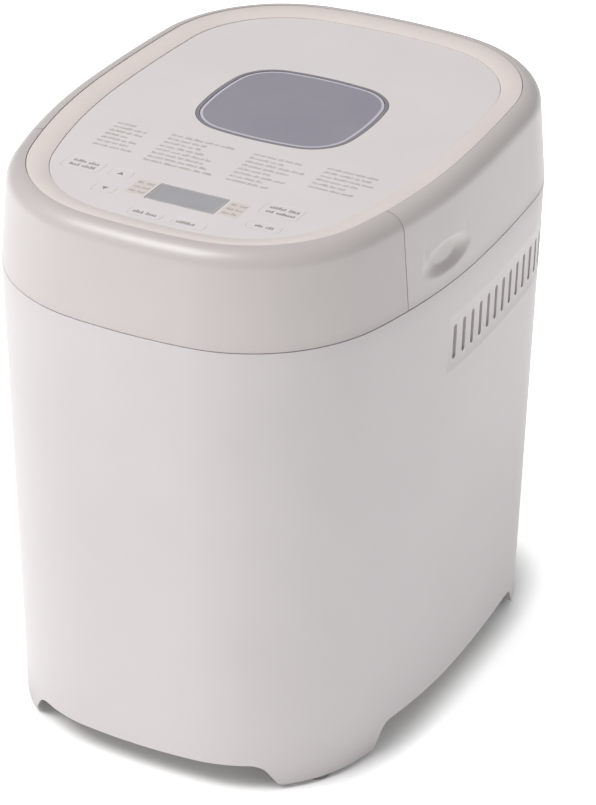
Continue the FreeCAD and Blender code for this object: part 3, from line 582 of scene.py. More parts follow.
def arch_end():
    """Soft end of an arch: a rounded toe, a slope, then a hollow corner up to the top."""
    slope = math.radians(ARCH_SLOPE)
    corner = (ARCH_CORNER, ARCH_TOP - ARCH_CORNER)
    hollow = round_arc(corner, ARCH_CORNER, 90 + ARCH_SLOPE, 90, 8)
    toe_middle = LEG_BOTTOM + ARCH_TOE
    toe_end = (ARCH_TOE * math.sin(slope), toe_middle - ARCH_TOE * math.cos(slope))
    run = (hollow[0][1] - toe_end[1]) / math.tan(slope)
    middle = (hollow[0][0] - run - toe_end[0], toe_middle)
    toe = round_arc(middle, ARCH_TOE, -90, ARCH_SLOPE - 90, 6)
    return [(toe[0][0], -MM)] + toe + hollow


def arch_shape(low, high):
    left = [(low + a, b) for a, b in arch_end()]
    right = [(high - a, b) for a, b in arch_end()[::-1]]
    return left + right


print("arch end, points:", len(arch_end()))

# %% Sweep the casing and cut its arches
casing = carried("casing", body_outline(), casing_section(), CASING_ABS)
front_arch = arch_shape(-ARCH_HALF_WIDTH, ARCH_HALF_WIDTH)
combined(casing, prism("front_arch", front_arch, -ARCH_REACH, ARCH_REACH, "y"))
side_arch = arch_shape(ARCH_FRONT + MIDDLE_Y, ARCH_REAR + MIDDLE_Y)
combined(casing, prism("side_arch", side_arch, -ARCH_REACH, ARCH_REACH, "x"))
print("casing faces:", len(casing.data.polygons))

# %% [markdown]
# Thirteen upright vent slots sit in a shallow field on the right wall. One slot cutter is
# instanced along a line by Geometry Nodes, realized, and cut from the wall in one go. The
# field round them follows the wall, so its cutter is swept along that stretch of outline.
# A baffle close behind the wall keeps fingers and crumbs out, and is swept the same way.

# %% The vent slots
SLOTS = 13
SLOT_PITCH = 9.05 * MM
SLOT_WIDTH = 3.2 * MM
SLOT_LOW, SLOT_HIGH = 201 * MM, 219.5 * MM
FIRST_SLOT = -21.5 * MM + MIDDLE_Y
FIELD_BORDER = 4.5 * MM
FIELD_DEPTH = 0.25 * MM
FIELD_SLANT = 1.6 * MM
CUTTER_OUT = 5 * MM
RIGHT_WALL_FROM = 90 * MM
SLOT_CUT_FROM, SLOT_CUT_TO = 98 * MM, 116 * MM


def row_of_copies():
    tree, given = new_tree("row_of_copies", [
        ("Count", "NodeSocketInt"), ("Step", "NodeSocketVector"), ("Finish", "NodeSocketMaterial"),
    ])
    line = add(tree, "GeometryNodeMeshLine", {"Count": given["Count"], "Offset": given["Step"]})
    copies = add(tree, "GeometryNodeInstanceOnPoints", {
        "Points": line.outputs[0], "Instance": given["Geometry"],
    })
    return end_tree(tree, copies, given["Finish"])


ROW = row_of_copies()


def slot_shape():
    half = SLOT_WIDTH / 2
    top = round_arc((FIRST_SLOT, SLOT_HIGH - half), half, 0, 180, 10)
    bottom = round_arc((FIRST_SLOT, SLOT_LOW + half), half, 180, 360, 10)
    return top + bottom


def stretch(plan, low_y, high_y):
    """The right-hand part of an outline between two y values, with exact ends."""
    side = sorted((y, x) for x, y in plan if x > RIGHT_WALL_FROM)

    def x_at(y):
        for (y0, x0), (y1, x1) in zip(side, side[1:]):
            if y0 <= y <= y1:
                return x0 + (x1 - x0) * (y - y0) / (y1 - y0)

    inner = [(x, y) for y, x in side if low_y < y < high_y]
    return [(x_at(low_y), low_y)] + inner + [(x_at(high_y), high_y)]


def vent_field():
    low_y = FIRST_SLOT - SLOT_WIDTH / 2 - FIELD_BORDER
    high_y = FIRST_SLOT + (SLOTS - 1) * SLOT_PITCH + SLOT_WIDTH / 2 + FIELD_BORDER
    low, high = SLOT_LOW - FIELD_BORDER, SLOT_HIGH + FIELD_BORDER
    below, above = low - FIELD_SLANT, high + FIELD_SLANT
    section = [
        (drafted(low) - FIELD_DEPTH, low), (drafted(low) + FIELD_DEPTH, below), (CUTTER_OUT, below),
        (CUTTER_OUT, above), (drafted(high) + FIELD_DEPTH, above), (drafted(high) - FIELD_DEPTH, high),
    ]
    path = stretch(body_outline(), low_y, high_y)
    return carried("vent_field", path, section, CASING_ABS, closed=False)


print("field cutter and slot shape ready, slots:", SLOTS)

# %% The baffle, and the cuts
BAFFLE = 1.2 * MM
BAFFLE_GAP = 0.2 * MM
BAFFLE_BORDER = 6 * MM
BAFFLE_LEAD = 8 * MM
BAFFLE_LOW, BAFFLE_HIGH = SLOT_LOW - BAFFLE_BORDER, SLOT_HIGH + BAFFLE_BORDER
baffle_section = []
for high, deep in ((BAFFLE_LOW, BAFFLE), (BAFFLE_LOW, 0), (BAFFLE_HIGH, 0), (BAFFLE_HIGH, BAFFLE)):
    baffle_section.append((drafted(high) - WALL - BAFFLE_GAP - deep, high))
baffle_path = stretch(body_outline(), FIRST_SLOT - BAFFLE_LEAD, FIRST_SLOT + SLOTS * SLOT_PITCH)
baffle = carried("vent_baffle", baffle_path, baffle_section, BAFFLE_ABS, closed=False)
slots = prism("slots", slot_shape(), SLOT_CUT_FROM, SLOT_CUT_TO, "x")
run_tree(slots, ROW, {"Count": SLOTS, "Step": (0, SLOT_PITCH, 0), "Finish": CASING_ABS})
combined(casing, vent_field())
combined(casing, slots)
print("vent slots cut:", SLOTS, "casing faces now:", len(casing.data.polygons))

# %% [markdown]
# Two short hinges carry the lid at the back. Each has a pair of lugs on the casing and a
# knuckle on the lid between them. A lug is a side profile, extruded, then copied to its four
# places by a Geometry Nodes tree that reads the places from a small mesh of points.

# %% Copies at given places
HINGE_Y = 150.5 * MM + MIDDLE_Y
HINGE_Z = 247 * MM
KNUCKLE_R = 4.5 * MM
HINGE_MIDDLES = (-24 * MM, 24 * MM)
LUG_HALF = 2.7 * MM
LUG_GAP = 0.3 * MM
KNUCKLE_HALF = 10 * MM


def copies_at_places():
    tree, given = new_tree("copies_at_places", [
        ("Pattern", "NodeSocketObject"), ("Finish", "NodeSocketMaterial"),
    ])
    pattern = add(tree, "GeometryNodeObjectInfo", {"Object": given["Pattern"]})
    size = add(tree, "GeometryNodeInputNamedAttribute", {"Name": "size"}, data_type="FLOAT_VECTOR")
    copies = add(tree, "GeometryNodeInstanceOnPoints", {
        "Points": given["Geometry"], "Instance": pattern.outputs["Geometry"],
        "Scale": size.outputs["Attribute"],
    })
    return end_tree(tree, copies, given["Finish"])


COPIES = copies_at_places()


def copied(name, pattern, places, finish, sizes=None):
    """One mesh with the pattern at every place, each scaled by its size."""
    piece = new_piece(name, places)
    field = piece.data.attributes.new("size", "FLOAT_VECTOR", "POINT")
    for item, size in zip(field.data, sizes or [(1, 1, 1)] * len(places)):
        item.vector = size
    run_tree(piece, COPIES, {"Pattern": pattern, "Finish": finish})
    discard(pattern)
    return tidy_normals(piece)


def lug_shape():
    """Side view (y, z) about the pin: a round eye on a square web that is rooted in the wall."""
    eye = round_arc((0, 0), KNUCKLE_R, 0, 180, 20)
    root = [(-4.5, -2), (-7, -2), (-7.3, -17), (2.5, -17), (3.9, -16.4), (4.5, -15)]
    return eye + [(y * MM, z * MM) for y, z in root]


print("copying tree ready:", len(COPIES.nodes), "nodes")

# %% The casing's lugs
lug_places = []
for middle in HINGE_MIDDLES:
    for side in (-1, 1):
        lug_places.append((middle + side * (KNUCKLE_HALF + LUG_GAP + LUG_HALF), HINGE_Y, HINGE_Z))
lug = prism("lug", lug_shape(), -LUG_HALF, LUG_HALF, "x")
joined(casing, copied("casing_lugs", lug, lug_places, CASING_ABS))
tidy_normals(casing)
print("lugs at x =", [round(x / MM, 1) for x, y, z in lug_places], "mm")

# %% [markdown]
# Above the seam the crown leans in and rolls over a full shoulder. In front it is a fixed
# collar that belongs to the base; behind, the same skin is the lid's skirt. Both are swept
# round the whole outline and parted across the machine, with the joint gap between them.

# %% The crown: fixed collar in front, lid skirt behind
CROWN_BOTTOM = 245.35 * MM
CREST = 293.5 * MM
LEAN = 4.0 / 48.5
SHOULDER = 9.3 * MM
SHOULDER_AT = (-12.55 * MM, 284.2 * MM)
POCKET = -12.5 * MM
DECK_TOP = 288.8 * MM
PARTING = -63.8 * MM + MIDDLE_Y
JOINT_GAP = 0.25 * MM
EDGE = 0.2 * MM
CROWN_STEP = 4.4 * MM
TONGUE_LOW = 243.6 * MM
LINING, LINING_TOP = 2.1 * MM, 289.6 * MM
SHELF_IN, SHELF_OUT, SHELF_LOW = -24 * MM, -6.3 * MM, 286.4 * MM


def crown_skin(radius, inset):
    """Outside of the crown from the seam up and over the shoulder, moved in by an inset."""
    roll = round_arc(SHOULDER_AT, radius, 5, 90, 18)
    low = -inset
    heights = [CROWN_BOTTOM + EDGE + i * CROWN_STEP for i in range(9)]
    return [(low - (high - SEAM) * LEAN, high) for high in heights] + roll


def crown_lip():
    """Rounded lower edge of the crown, and rounded inner edge of its crest."""
    foot_out = -(CROWN_BOTTOM - SEAM) * LEAN
    foot = round_arc((foot_out - EDGE, CROWN_BOTTOM + EDGE), EDGE, -90, -10, 3)
    crest = round_arc((POCKET - 0.05 * MM, CREST - EDGE), EDGE * 0.5, 120, 180, 2)
    return foot, crest


def collar_section():
    foot, crest = crown_lip()
    lining = POCKET + LINING
    inside = [(POCKET, TONGUE_LOW), (lining, TONGUE_LOW), (lining, LINING_TOP)]
    under = crown_skin(SHOULDER - WALL, WALL)[::-1]
    under = [(out, high) for out, high in under if out > lining + 0.2 * MM] + [(-WALL, CROWN_BOTTOM)]
    return foot + crown_skin(SHOULDER, 0.0) + crest + inside + under


def skirt_section():
    foot, crest = crown_lip()
    shelf = [(POCKET, DECK_TOP), (SHELF_IN, DECK_TOP), (SHELF_IN, SHELF_LOW), (SHELF_OUT, SHELF_LOW)]
    under = [(out, high) for out, high in crown_skin(SHOULDER - WALL, WALL)[::-1] if high < SHELF_LOW]
    return foot + crown_skin(SHOULDER, 0.0) + crest + shelf + under + [(-WALL, CROWN_BOTTOM)]


print("points in the collar and skirt sections:", len(collar_section()), len(skirt_section()))

# %% Sweep the crown twice and part it
collar = carried("front_collar_skin", body_outline(), collar_section(), COLLAR_ABS)
half_kept(collar, PARTING - JOINT_GAP, keep_rear=False)
skirt = carried("lid_skin", body_outline(), skirt_section(), LID_ABS)
half_kept(skirt, PARTING + JOINT_GAP, keep_rear=True)
print("collar faces:", len(collar.data.polygons), "skirt faces:", len(skirt.data.polygons))

# %% [markdown]
# A shallow scoop in each side of the skirt lets a finger lift the lid. It has no edge: the
# skin dips softly, which a boolean can't do. So the skin is made finer round the scoop and
# its points are pressed in by a smooth oval rule. Before that, the wall's inside bulges by
# the form of a round-ended bar, so that the plastic keeps its thickness behind the scoop.

# %% The finger scoops
SCOOP_Z = 260 * MM
SCOOP_TURN = math.radians(84.5)  # where along the side, as the outline's direction there
BAR_R, BAR_HALF, BAR_DEPTH = 8.5 * MM, 14.5 * MM, 3.2 * MM
OVAL_HALF, OVAL_HALF_HIGH, OVAL_DEPTH = 23 * MM, 8.2 * MM, 2.6 * MM
OVAL_FLOOR = 1.35  # above 1, the middle of the hollow is flat
OVAL_FADE = 1.6  # higher fades more softly into the skin
FINER_LONG, FINER_HIGH = 1.25, 1.7  # reach of the finer skin, in half lengths and heights
FINER_CUTS = 5
SKIN_BAND = 2.0 * MM


def scoop_line(side):
    """Ends of the bar's axis on one side, and its outward direction."""
    lean_in = MM
    front = quarter(
        HALF_WIDTH - lean_in, HALF_DEPTH - lean_in, CORNER - lean_in, BOWS[0], BOWS[2], MM / 4,
    )
    x, y, turn = min(front, key=lambda p: abs(p[2] - SCOOP_TURN))
    out = Vector((math.sin(turn), -math.cos(turn), 0))
    along = Vector((math.cos(turn), math.sin(turn), 0))
    middle = Vector((x, y + MIDDLE_Y, SCOOP_Z)) + out * (BAR_R - BAR_DEPTH)
    ends = [middle - along * BAR_HALF, middle + along * BAR_HALF]
    mirror = Vector((side, 1, 1))
    return [p * mirror for p in ends], out * mirror


def swell_behind(piece, side):
    """Push the inner wall inwards so that it clears the bar by the wall's thickness."""
    (start, end), out = scoop_line(side)
    line = (end - start).normalized()
    for vertex in piece.data.vertices:
        reach = min(max((vertex.co - start).dot(line), 0), (end - start).length)
        nearest = start + line * reach
        away = vertex.co - nearest
        depth = away.dot(out)
        across = (away - out * depth).length
        on_inside = -BAR_R - WALL < depth < -BAR_R + BAR_DEPTH - WALL / 2
        if on_inside and across < BAR_R + WALL:
            wanted = -math.sqrt((BAR_R + WALL) ** 2 - across ** 2)
            if wanted < depth:
                vertex.co += out * (wanted - depth)


def scooped(piece, side):
    """Refine the outer skin round the scoop, then press a soft oval hollow into it."""
    (start, end), out = scoop_line(side)
    line = (end - start).normalized()
    centre = (start + end) / 2 + out * (BAR_DEPTH - BAR_R)
    work = bmesh.new()
    work.from_mesh(piece.data)

    def place(vertex):
        away = vertex.co - centre
        return away.dot(line) / OVAL_HALF, away.z / OVAL_HALF_HIGH, away.dot(out)

    def on_skin(vertex):
        along, high, depth = place(vertex)
        return abs(along) < FINER_LONG and abs(high) < FINER_HIGH and depth > -SKIN_BAND

    edges = [e for e in work.edges if on_skin(e.verts[0]) and on_skin(e.verts[1])]
    bmesh.ops.subdivide_edges(work, edges=edges, cuts=FINER_CUTS, use_grid_fill=True)
    for vertex in work.verts:
        along, high, depth = place(vertex)
        inside = 1 - along ** 2 - high ** 2
        if inside > 0 and depth > -SKIN_BAND:
            vertex.co -= out * (OVAL_DEPTH * min(1.0, OVAL_FLOOR * inside ** OVAL_FADE))
    work.to_mesh(piece.data)
    work.free()


print("a scoop is", 2 * OVAL_HALF / MM, "mm long and", OVAL_DEPTH / MM, "mm deep")

# %% Press both scoops
for side in (-1, 1):
    swell_behind(skirt, side)
    scooped(skirt, side)
tidy_normals(skirt, 30)
print("skirt faces with scoops:", len(skirt.data.polygons))

# %% [markdown]
# The lid's front wall hides inside the collar and carries the deck under the panel. It is a
# plain swept wall. The two knuckles reach back from the skirt between the casing's lugs.

# %% The lid's inner wall and knuckles
WALL_OUT = POCKET - 0.4 * MM
WALL_IN = WALL_OUT - 2.2 * MM
WALL_LOW = 247 * MM
DECK_IN = -40 * MM
wall_section = [
    (WALL_OUT, WALL_LOW), (WALL_OUT, DECK_TOP), (DECK_IN, DECK_TOP), (DECK_IN, SHELF_LOW),
    (WALL_IN, SHELF_LOW), (WALL_IN, WALL_LOW),
]
inner_wall = carried("lid_inner_wall", body_outline(), wall_section, LID_ABS)
half_kept(inner_wall, PARTING + JOINT_GAP + WALL, keep_rear=False)


def knuckle_shape():
    """Side view (y, z) about the pin: an eye, with an arm running forward into the skirt."""
    eye = round_arc((0, 0), KNUCKLE_R, -150, 90, 26)
    return eye + [(-7 * MM, KNUCKLE_R), (-7 * MM, -0.5 * MM)]


knuckle = prism("knuckle", knuckle_shape(), -KNUCKLE_HALF, KNUCKLE_HALF, "x")
knuckles = copied("knuckles", knuckle, [(x, HINGE_Y, HINGE_Z) for x in HINGE_MIDDLES], LID_ABS)
joined(skirt, inner_wall, knuckles)
tidy_normals(skirt, 30)
print("lid skin pieces joined, faces:", len(skirt.data.polygons))

# %% [markdown]
# The champagne ring slopes from the crest down to the panel. It is snapped in as one strip,
# so it gets its own sweep with tiny rounds where the paint would otherwise chip.

# %% The sloped trim ring
RING_OUT, RING_IN = -12.9 * MM, -23.5 * MM
RING_HIGH, RING_LOW = 293.3 * MM, 291.4 * MM
SOFT = 0.3 * MM
NIP, NIP_HIGH, NIP_LOW = 0.1 * MM, 0.09 * MM, 0.08 * MM
ring_section = [
    (RING_OUT, DECK_TOP), (RING_OUT, RING_HIGH - SOFT), (RING_OUT - NIP, RING_HIGH - NIP_HIGH),
    (RING_OUT - SOFT, RING_HIGH), (RING_IN + SOFT, RING_LOW), (RING_IN + NIP, RING_LOW - NIP_LOW),
    (RING_IN, RING_LOW - SOFT), (RING_IN, DECK_TOP),
]
ring = carried("champagne_ring", body_outline(), ring_section, RING_PAINT)
print("ring faces:", len(ring.data.polygons))

# %% [markdown]
# The panel is a flat printed sheet with holes for the window, the display and seven keys.
# A filled 2D curve suits it: the outer line and each hole are splines, and extrude and bevel
# give the sheet its thickness and a softened edge at once. The same helper makes the keys.

# %% Flat parts from filled outlines
def rounded_rectangle(middle_x, middle_y, half_x, half_y, radius, steps=6):
    corners = ((1, -1, -90), (1, 1, 0), (-1, 1, 90), (-1, -1, 180))
    found = []
    for side_x, side_y, start in corners:
        centre = (middle_x + side_x * (half_x - radius), middle_y + side_y * (half_y - radius))
        found += round_arc(centre, radius, start, start + 90, steps)
    return found


def flat_part(name, loops, low, high, finish, edge=0.15 * MM):
    """Closed slab between two heights, with softened edges, from an outline and its holes."""
    curve = bpy.data.curves.new(name, "CURVE")
    curve.dimensions = "2D"
    curve.fill_mode = "BOTH"
    for loop in loops:
        spline = curve.splines.new("POLY")
        spline.points.add(len(loop) - 1)
        spline.use_cyclic_u = True
        for point, (x, y) in zip(spline.points, loop):
            point.co = (x, y, 0, 1)
    curve.extrude = (high - low) / 2 - edge
    curve.bevel_depth = edge
    curve.bevel_resolution = 2
    curve.offset = -edge
    shape = bpy.data.objects.new(name + "_curve", curve)
    bpy.context.scene.collection.objects.link(shape)
    graph = bpy.context.evaluated_depsgraph_get()
    mesh = bpy.data.meshes.new_from_object(shape.evaluated_get(graph))
    mesh.transform(Matrix.Translation((0, 0, (low + high) / 2)))
    discard(shape)
    piece = bpy.data.objects.new(name, mesh)
    bpy.context.scene.collection.objects.link(piece)
    mesh.materials.clear()
    mesh.materials.append(finish)
    return tidy_normals(piece, 50)


print("flat part helper ready")

# %% The printed panel and its holes
WINDOW_HALF_WIDTH, WINDOW_HALF_DEPTH, WINDOW_CORNER = 42.7 * MM, 40 * MM, 23.5 * MM
WINDOW_BOWS = (8, 8, 8, 8)


def window_outline(inset=0.0):
    sizes = [size - inset for size in (WINDOW_HALF_WIDTH, WINDOW_HALF_DEPTH, WINDOW_CORNER)]
    return outline(*sizes, WINDOW_BOWS, WINDOW_Y, 1.5 * MM)


def shrunk_body(inset):
    return outline(HALF_WIDTH - inset, HALF_DEPTH - inset, CORNER - inset, BOWS, MIDDLE_Y)


WINDOW_Y = 18 * MM + MIDDLE_Y
WINDOW_GAP = 0.15 * MM
PANEL_INSET = 23.65 * MM
PANEL_TOP = 291 * MM
DISPLAY_AT = (3 * MM, -91.7 * MM + MIDDLE_Y)
DISPLAY_HALF = (18.1 * MM, 8.7 * MM)
DISPLAY_ROUND = 1 * MM
KEY_ROUND = 2.2 * MM
# Middle x and y, width and depth of each key, in mm from the body's middle.
KEYS = {
    "menu": (-57, -83, 20, 12), "timer_up": (-36.7, -83.3, 11, 9), "timer_down": (-35.8, -100.3, 11, 9),
    "crust": (-6.2, -114, 17, 7), "loaf_size": (16.2, -114, 17, 7),
    "start": (47.5, -83, 20, 12), "stop": (47.5, -100.3, 17, 7),
}


def key_outline(name, shrink):
    x, y, width, depth = KEYS[name]
    half = (width / 2 * MM - shrink, depth / 2 * MM - shrink)
    return rounded_rectangle(x * MM, y * MM + MIDDLE_Y, *half, KEY_ROUND - shrink)


holes = [window_outline(-WINDOW_GAP), rounded_rectangle(*DISPLAY_AT, *DISPLAY_HALF, DISPLAY_ROUND)]
holes += [key_outline(name, 0.0) for name in KEYS]
sheet = [shrunk_body(PANEL_INSET)] + holes
panel = flat_part("printed_panel", sheet, DECK_TOP, PANEL_TOP, PANEL_SHEET)
print("panel faces:", len(panel.data.polygons), "holes:", len(holes))

# %% [markdown]
# The keys are covered by the same printed skin as the sheet, so a key shows only as a very
# fine line round its cap. Each cap is its own piece and rides on its own sprung body.

# %% The seven key caps
KEY_GAP = 0.06 * MM
KEY_EDGE = 0.05 * MM
KEY_LOW = 287.6 * MM
key_caps = {}
for name in KEYS:
    cap_outline = [key_outline(name, KEY_GAP)]
    cap = flat_part("cap_" + name, cap_outline, KEY_LOW, PANEL_TOP, PANEL_SHEET, KEY_EDGE)
    key_caps[name] = cap
print("key caps:", len(key_caps))

# %% [markdown]
# The window is a grey pane in a dark ring. The ring's flange lies in the panel and its inner
# wall drops down to the oven side as a light well. The pane sits a hair below the flange.

# %% The window ring, its panes and the display
PANE_LOW, PANE_TOP = 288.4 * MM, 290.8 * MM
WELL_LOW, OVEN_PANE_TOP = 264 * MM, 266.5 * MM
PANE_INSET, OVEN_PANE_INSET = 1.9 * MM, 3.7 * MM
LENS_LOW, LENS_TOP = 288.6 * MM, 290.9 * MM
LENS_GAP = 0.15 * MM


def ring_profile():
    edge, nip = 0.25 * MM, 0.08 * MM
    flange_in, well_out, well_in = -1.8 * MM, -1.3 * MM, -3.6 * MM
    top = [(0, DECK_TOP), (0, PANEL_TOP - edge), (-nip, PANEL_TOP - nip), (-edge, PANEL_TOP)]
    lip = [(flange_in, PANEL_TOP), (flange_in, PANE_LOW), (well_in, PANE_LOW), (well_in, WELL_LOW)]
    return top + lip + [(well_out, WELL_LOW), (well_out, DECK_TOP)]


window_ring = carried("window_ring", window_outline(), ring_profile(), DARK_RING)
pane = flat_part(
    "window_pane", [window_outline(PANE_INSET)], PANE_LOW, PANE_TOP, WINDOW_GLASS, 0.3 * MM,
)
oven_pane = flat_part(
    "oven_side_pane", [window_outline(OVEN_PANE_INSET)], WELL_LOW, OVEN_PANE_TOP, OVEN_GLASS, 0.3 * MM,
)


def display_outline(inset, radius):
    half_x, half_y = DISPLAY_HALF
    return rounded_rectangle(*DISPLAY_AT, half_x - inset, half_y - inset, radius)


lens_outline = display_outline(LENS_GAP, 0.9 * MM)
lens = flat_part("display_lens", [lens_outline], LENS_LOW, LENS_TOP, DISPLAY, 0.2 * MM)
print("window and display made")

# %% [markdown]
# Everything printed on the sheet is a film a few hundredths of a millimetre thick: two beige
# fields beside the display, a dark frame round it, arrows on the timer keys, and rows of
# letter-like marks for the menu. The marks are plain blocks, copied by Geometry Nodes to
# places that a seeded generator lays out in words and lines, so they carry no wording.

# %% Printed fields, frames and arrows
INK = 0.04 * MM


def printed(name, loops, finish, base=PANEL_TOP):
    return flat_part(name, loops, base - INK, base + INK, finish, 0.01 * MM)


display_frame = printed("display_frame_print", [
    display_outline(0.4 * MM, 0.8 * MM), display_outline(1.3 * MM, 0.5 * MM),
], GREY_INK, LENS_TOP)
FIELD_MIDDLES, FIELD_ROWS = (-21.3, 27.5), (-96.2, -91.7, -87.2)
FIELD_HALF = (5 * MM, 7.4 * MM)
FIELD_ROUND = 0.8 * MM
fields = []
for middle in FIELD_MIDDLES:
    place = (middle * MM, DISPLAY_AT[1], *FIELD_HALF, FIELD_ROUND)
    fields.append(printed("beige_field", [rounded_rectangle(*place)], PANEL_BEIGE))


def arrow(key, up):
    x, y, width, depth = KEYS[key]
    half_wide = 1.7 * MM
    tall = 1.5 * MM if up else -1.5 * MM
    shape = [(-half_wide, -tall), (half_wide, -tall), (0, tall)]
    return [(x * MM + a, y * MM + MIDDLE_Y + b) for a, b in shape]


arrows = {
    "timer_up": printed("arrow_up", [arrow("timer_up", True)], DARK_INK),
    "timer_down": printed("arrow_down", [arrow("timer_down", False)], DARK_INK),
}
joined(panel, *fields)
joined(lens, display_frame)
# On the pane: a pale band that is a painted reflection of its bevelled edge, and inside it a dark
# printed frit line.
joined(pane, *[
    printed("pane_line", [window_outline(outer * MM), window_outline(inner * MM)], ink, PANE_TOP)
    for outer, inner, ink in ((2.2, 3.4, PAINTED_EDGE_REFLECTION), (3.4, 3.8, DARK_FRIT))
])
print("printed fields:", len(fields), "arrows:", len(arrows))

# %% [markdown]
# Printed lettering, seen from a step away, is a rhythm: blocks of uneven height and width in
# words of three to seven, in lines of uneven length. A seeded generator draws that rhythm,
# so each run prints the same marks. All the marks of one sheet are one mesh, made by the
# tree that copies a pattern to places; each place carries its own size as an attribute.

# %% Letter-like marks, laid out by a seeded generator
LETTER = (0.85 * MM, 1.8 * MM)
FIELD_LETTER = (0.8 * MM, 1.6 * MM)
KEY_LETTER = (1.2 * MM, 2.2 * MM)
LETTER_PITCH, WORD_GAP = 1.15, 1.1
LINE_STEP = 4.2
# Left and right ends, first line and number of lines of each menu column, in mm.
MENU_COLUMNS = ((-66, -43, -36, 7), (-36.5, 3, -35.5, 8), (7.5, 38, -35.5, 8), (45, 74, -32.5, 6))
marks = random.Random(7)


def words_on_line(left, right, y, base, letter=LETTER, fill=1.0):
    """Places and sizes of blocks for one line of words between two x values."""
    places, sizes = [], []
    wide, tall = letter
    x = left
    end = left + (right - left) * fill
    while x < end - 2 * wide:
        for i in range(marks.randint(3, 7)):
            if x > end:
                break
            high = marks.choice((0.75, 0.75, 1.0, 1.15))
            places.append((x + wide / 2, y - tall * (1 - high) / 2, base))
            sizes.append((wide * marks.uniform(0.6, 0.95), tall * high, 2 * INK))
            x += wide * LETTER_PITCH
        x += wide * WORD_GAP
    return places, sizes


def menu_lines():
    """Four columns of lines above the keys, each line with a number and some words."""
    places, sizes = [], []
    for left, right, first, lines in MENU_COLUMNS:
        for i in range(lines):
            y = (first - LINE_STEP * i) * MM + MIDDLE_Y
            start = (left + 0.17 * i) * MM
            number = words_on_line(start, start + 2 * MM, y, PANEL_TOP)
            fill = marks.uniform(0.4, 1.0)
            words = words_on_line(start + 3.4 * MM, right * MM, y, PANEL_TOP, fill=fill)
            places += number[0] + words[0]
            sizes += number[1] + words[1]
    return places, sizes


def field_lines():
    """Three short lines of two marks on each beige field."""
    places, sizes = [], []
    for middle in FIELD_MIDDLES:
        for row in FIELD_ROWS:
            for shift in (-2.2, 2.4):
                left = (middle + shift - 1.6) * MM
                y = row * MM + MIDDLE_Y
                found = words_on_line(left, left + 3.2 * MM, y, PANEL_TOP + INK, FIELD_LETTER)
                places += found[0]
                sizes += found[1]
    return places, sizes


def label_lines(key, wide, rows):
    x, y, width, depth = KEYS[key]
    places, sizes = [], []
    for row in rows:
        left = (x - wide / 2) * MM
        line_y = (y + row) * MM + MIDDLE_Y
        found = words_on_line(left, left + wide * MM, line_y, PANEL_TOP, KEY_LETTER)
        places += found[0]
        sizes += found[1]
    return places, sizes


def block():
    shape = [(-0.5, -0.5), (0.5, -0.5), (0.5, 0.5), (-0.5, 0.5)]
    return prism("block", shape, -0.5, 0.5, "z")


def gathered(*lines):
    places = [place for line in lines for place in line[0]]
    sizes = [size for line in lines for size in line[1]]
    return places, sizes


print("menu columns:", len(MENU_COLUMNS))

# %% Print the panel and the caps
panel_marks, panel_sizes = gathered(menu_lines(), field_lines())
panel_print = copied("panel_print", block(), panel_marks, GREY_INK, panel_sizes)
joined(panel, panel_print)
TWO_ROWS, ONE_ROW = (2.2, -2.2), (0,)
cap_rows = {
    "menu": (13, TWO_ROWS), "start": (14, TWO_ROWS),
    "crust": (13, ONE_ROW), "loaf_size": (13, ONE_ROW), "stop": (9, ONE_ROW),
}
cap_print = {}
for name, (wide, rows) in cap_rows.items():
    places, sizes = label_lines(name, wide, rows)
    cap_print[name] = copied("print_" + name, block(), places, DARK_INK, sizes)
print("letter-like marks:", len(panel_marks), "on the panel, and", len(cap_print), "printed caps")

# %% [markdown]
# Four rubber feet lift the legs off the worktop. A foot is turned: one half-section spun
# about its axis, copied to its four places by the same tree as the lugs.

# %% The rubber feet
def turned(name, section, sides=48):
    """Closed solid spun about the upright axis from a (radius, height) section."""
    points, faces = [], []
    for i in range(sides):
        angle = 2 * math.pi * i / sides
        points += [(r * math.cos(angle), r * math.sin(angle), z) for r, z in section]
    count = len(section)
    for i in range(sides):
        a, b = i * count, ((i + 1) % sides) * count
        faces += [(a + k, b + k, b + k + 1, a + k + 1) for k in range(count - 1)]
    faces.append(tuple(i * count for i in range(sides))[::-1])
    faces.append(tuple(i * count + count - 1 for i in range(sides)))
    return tidy_normals(new_piece(name, points, faces=faces))


STEM_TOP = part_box("rubber_feet")[1].z
FOOT_R = 7.5 * MM
FOOT_X, FOOT_Y = 77.5 * MM, 99.5 * MM
FOOT_PLACES = [(x * FOOT_X, y * FOOT_Y + MIDDLE_Y, 0) for x in (-1, 1) for y in (-1, 1)]
PAD_TOP = 2.3 * MM
STEM_R = 4.8 * MM
foot_section = [(FOOT_R - 0.9 * MM, 0), (FOOT_R - 0.3 * MM, 0.25 * MM), (FOOT_R, 0.9 * MM)]
foot_section += [(FOOT_R, PAD_TOP - 0.2 * MM), (FOOT_R - 0.2 * MM, PAD_TOP)]
foot_section += [(STEM_R, PAD_TOP), (STEM_R, STEM_TOP)]
feet = copied("moulded_feet", turned("foot", foot_section), FOOT_PLACES, RUBBER)
print("feet:", len(FOOT_PLACES), "height", round(STEM_TOP / MM, 2), "mm")

# %% [markdown]
# The pieces inside were designed as exact solids, and their shapes are right already. They
# arrive as loose triangles, so one small tree welds them and keeps only real edges sharp.
# Each then gets the finish of its real material.

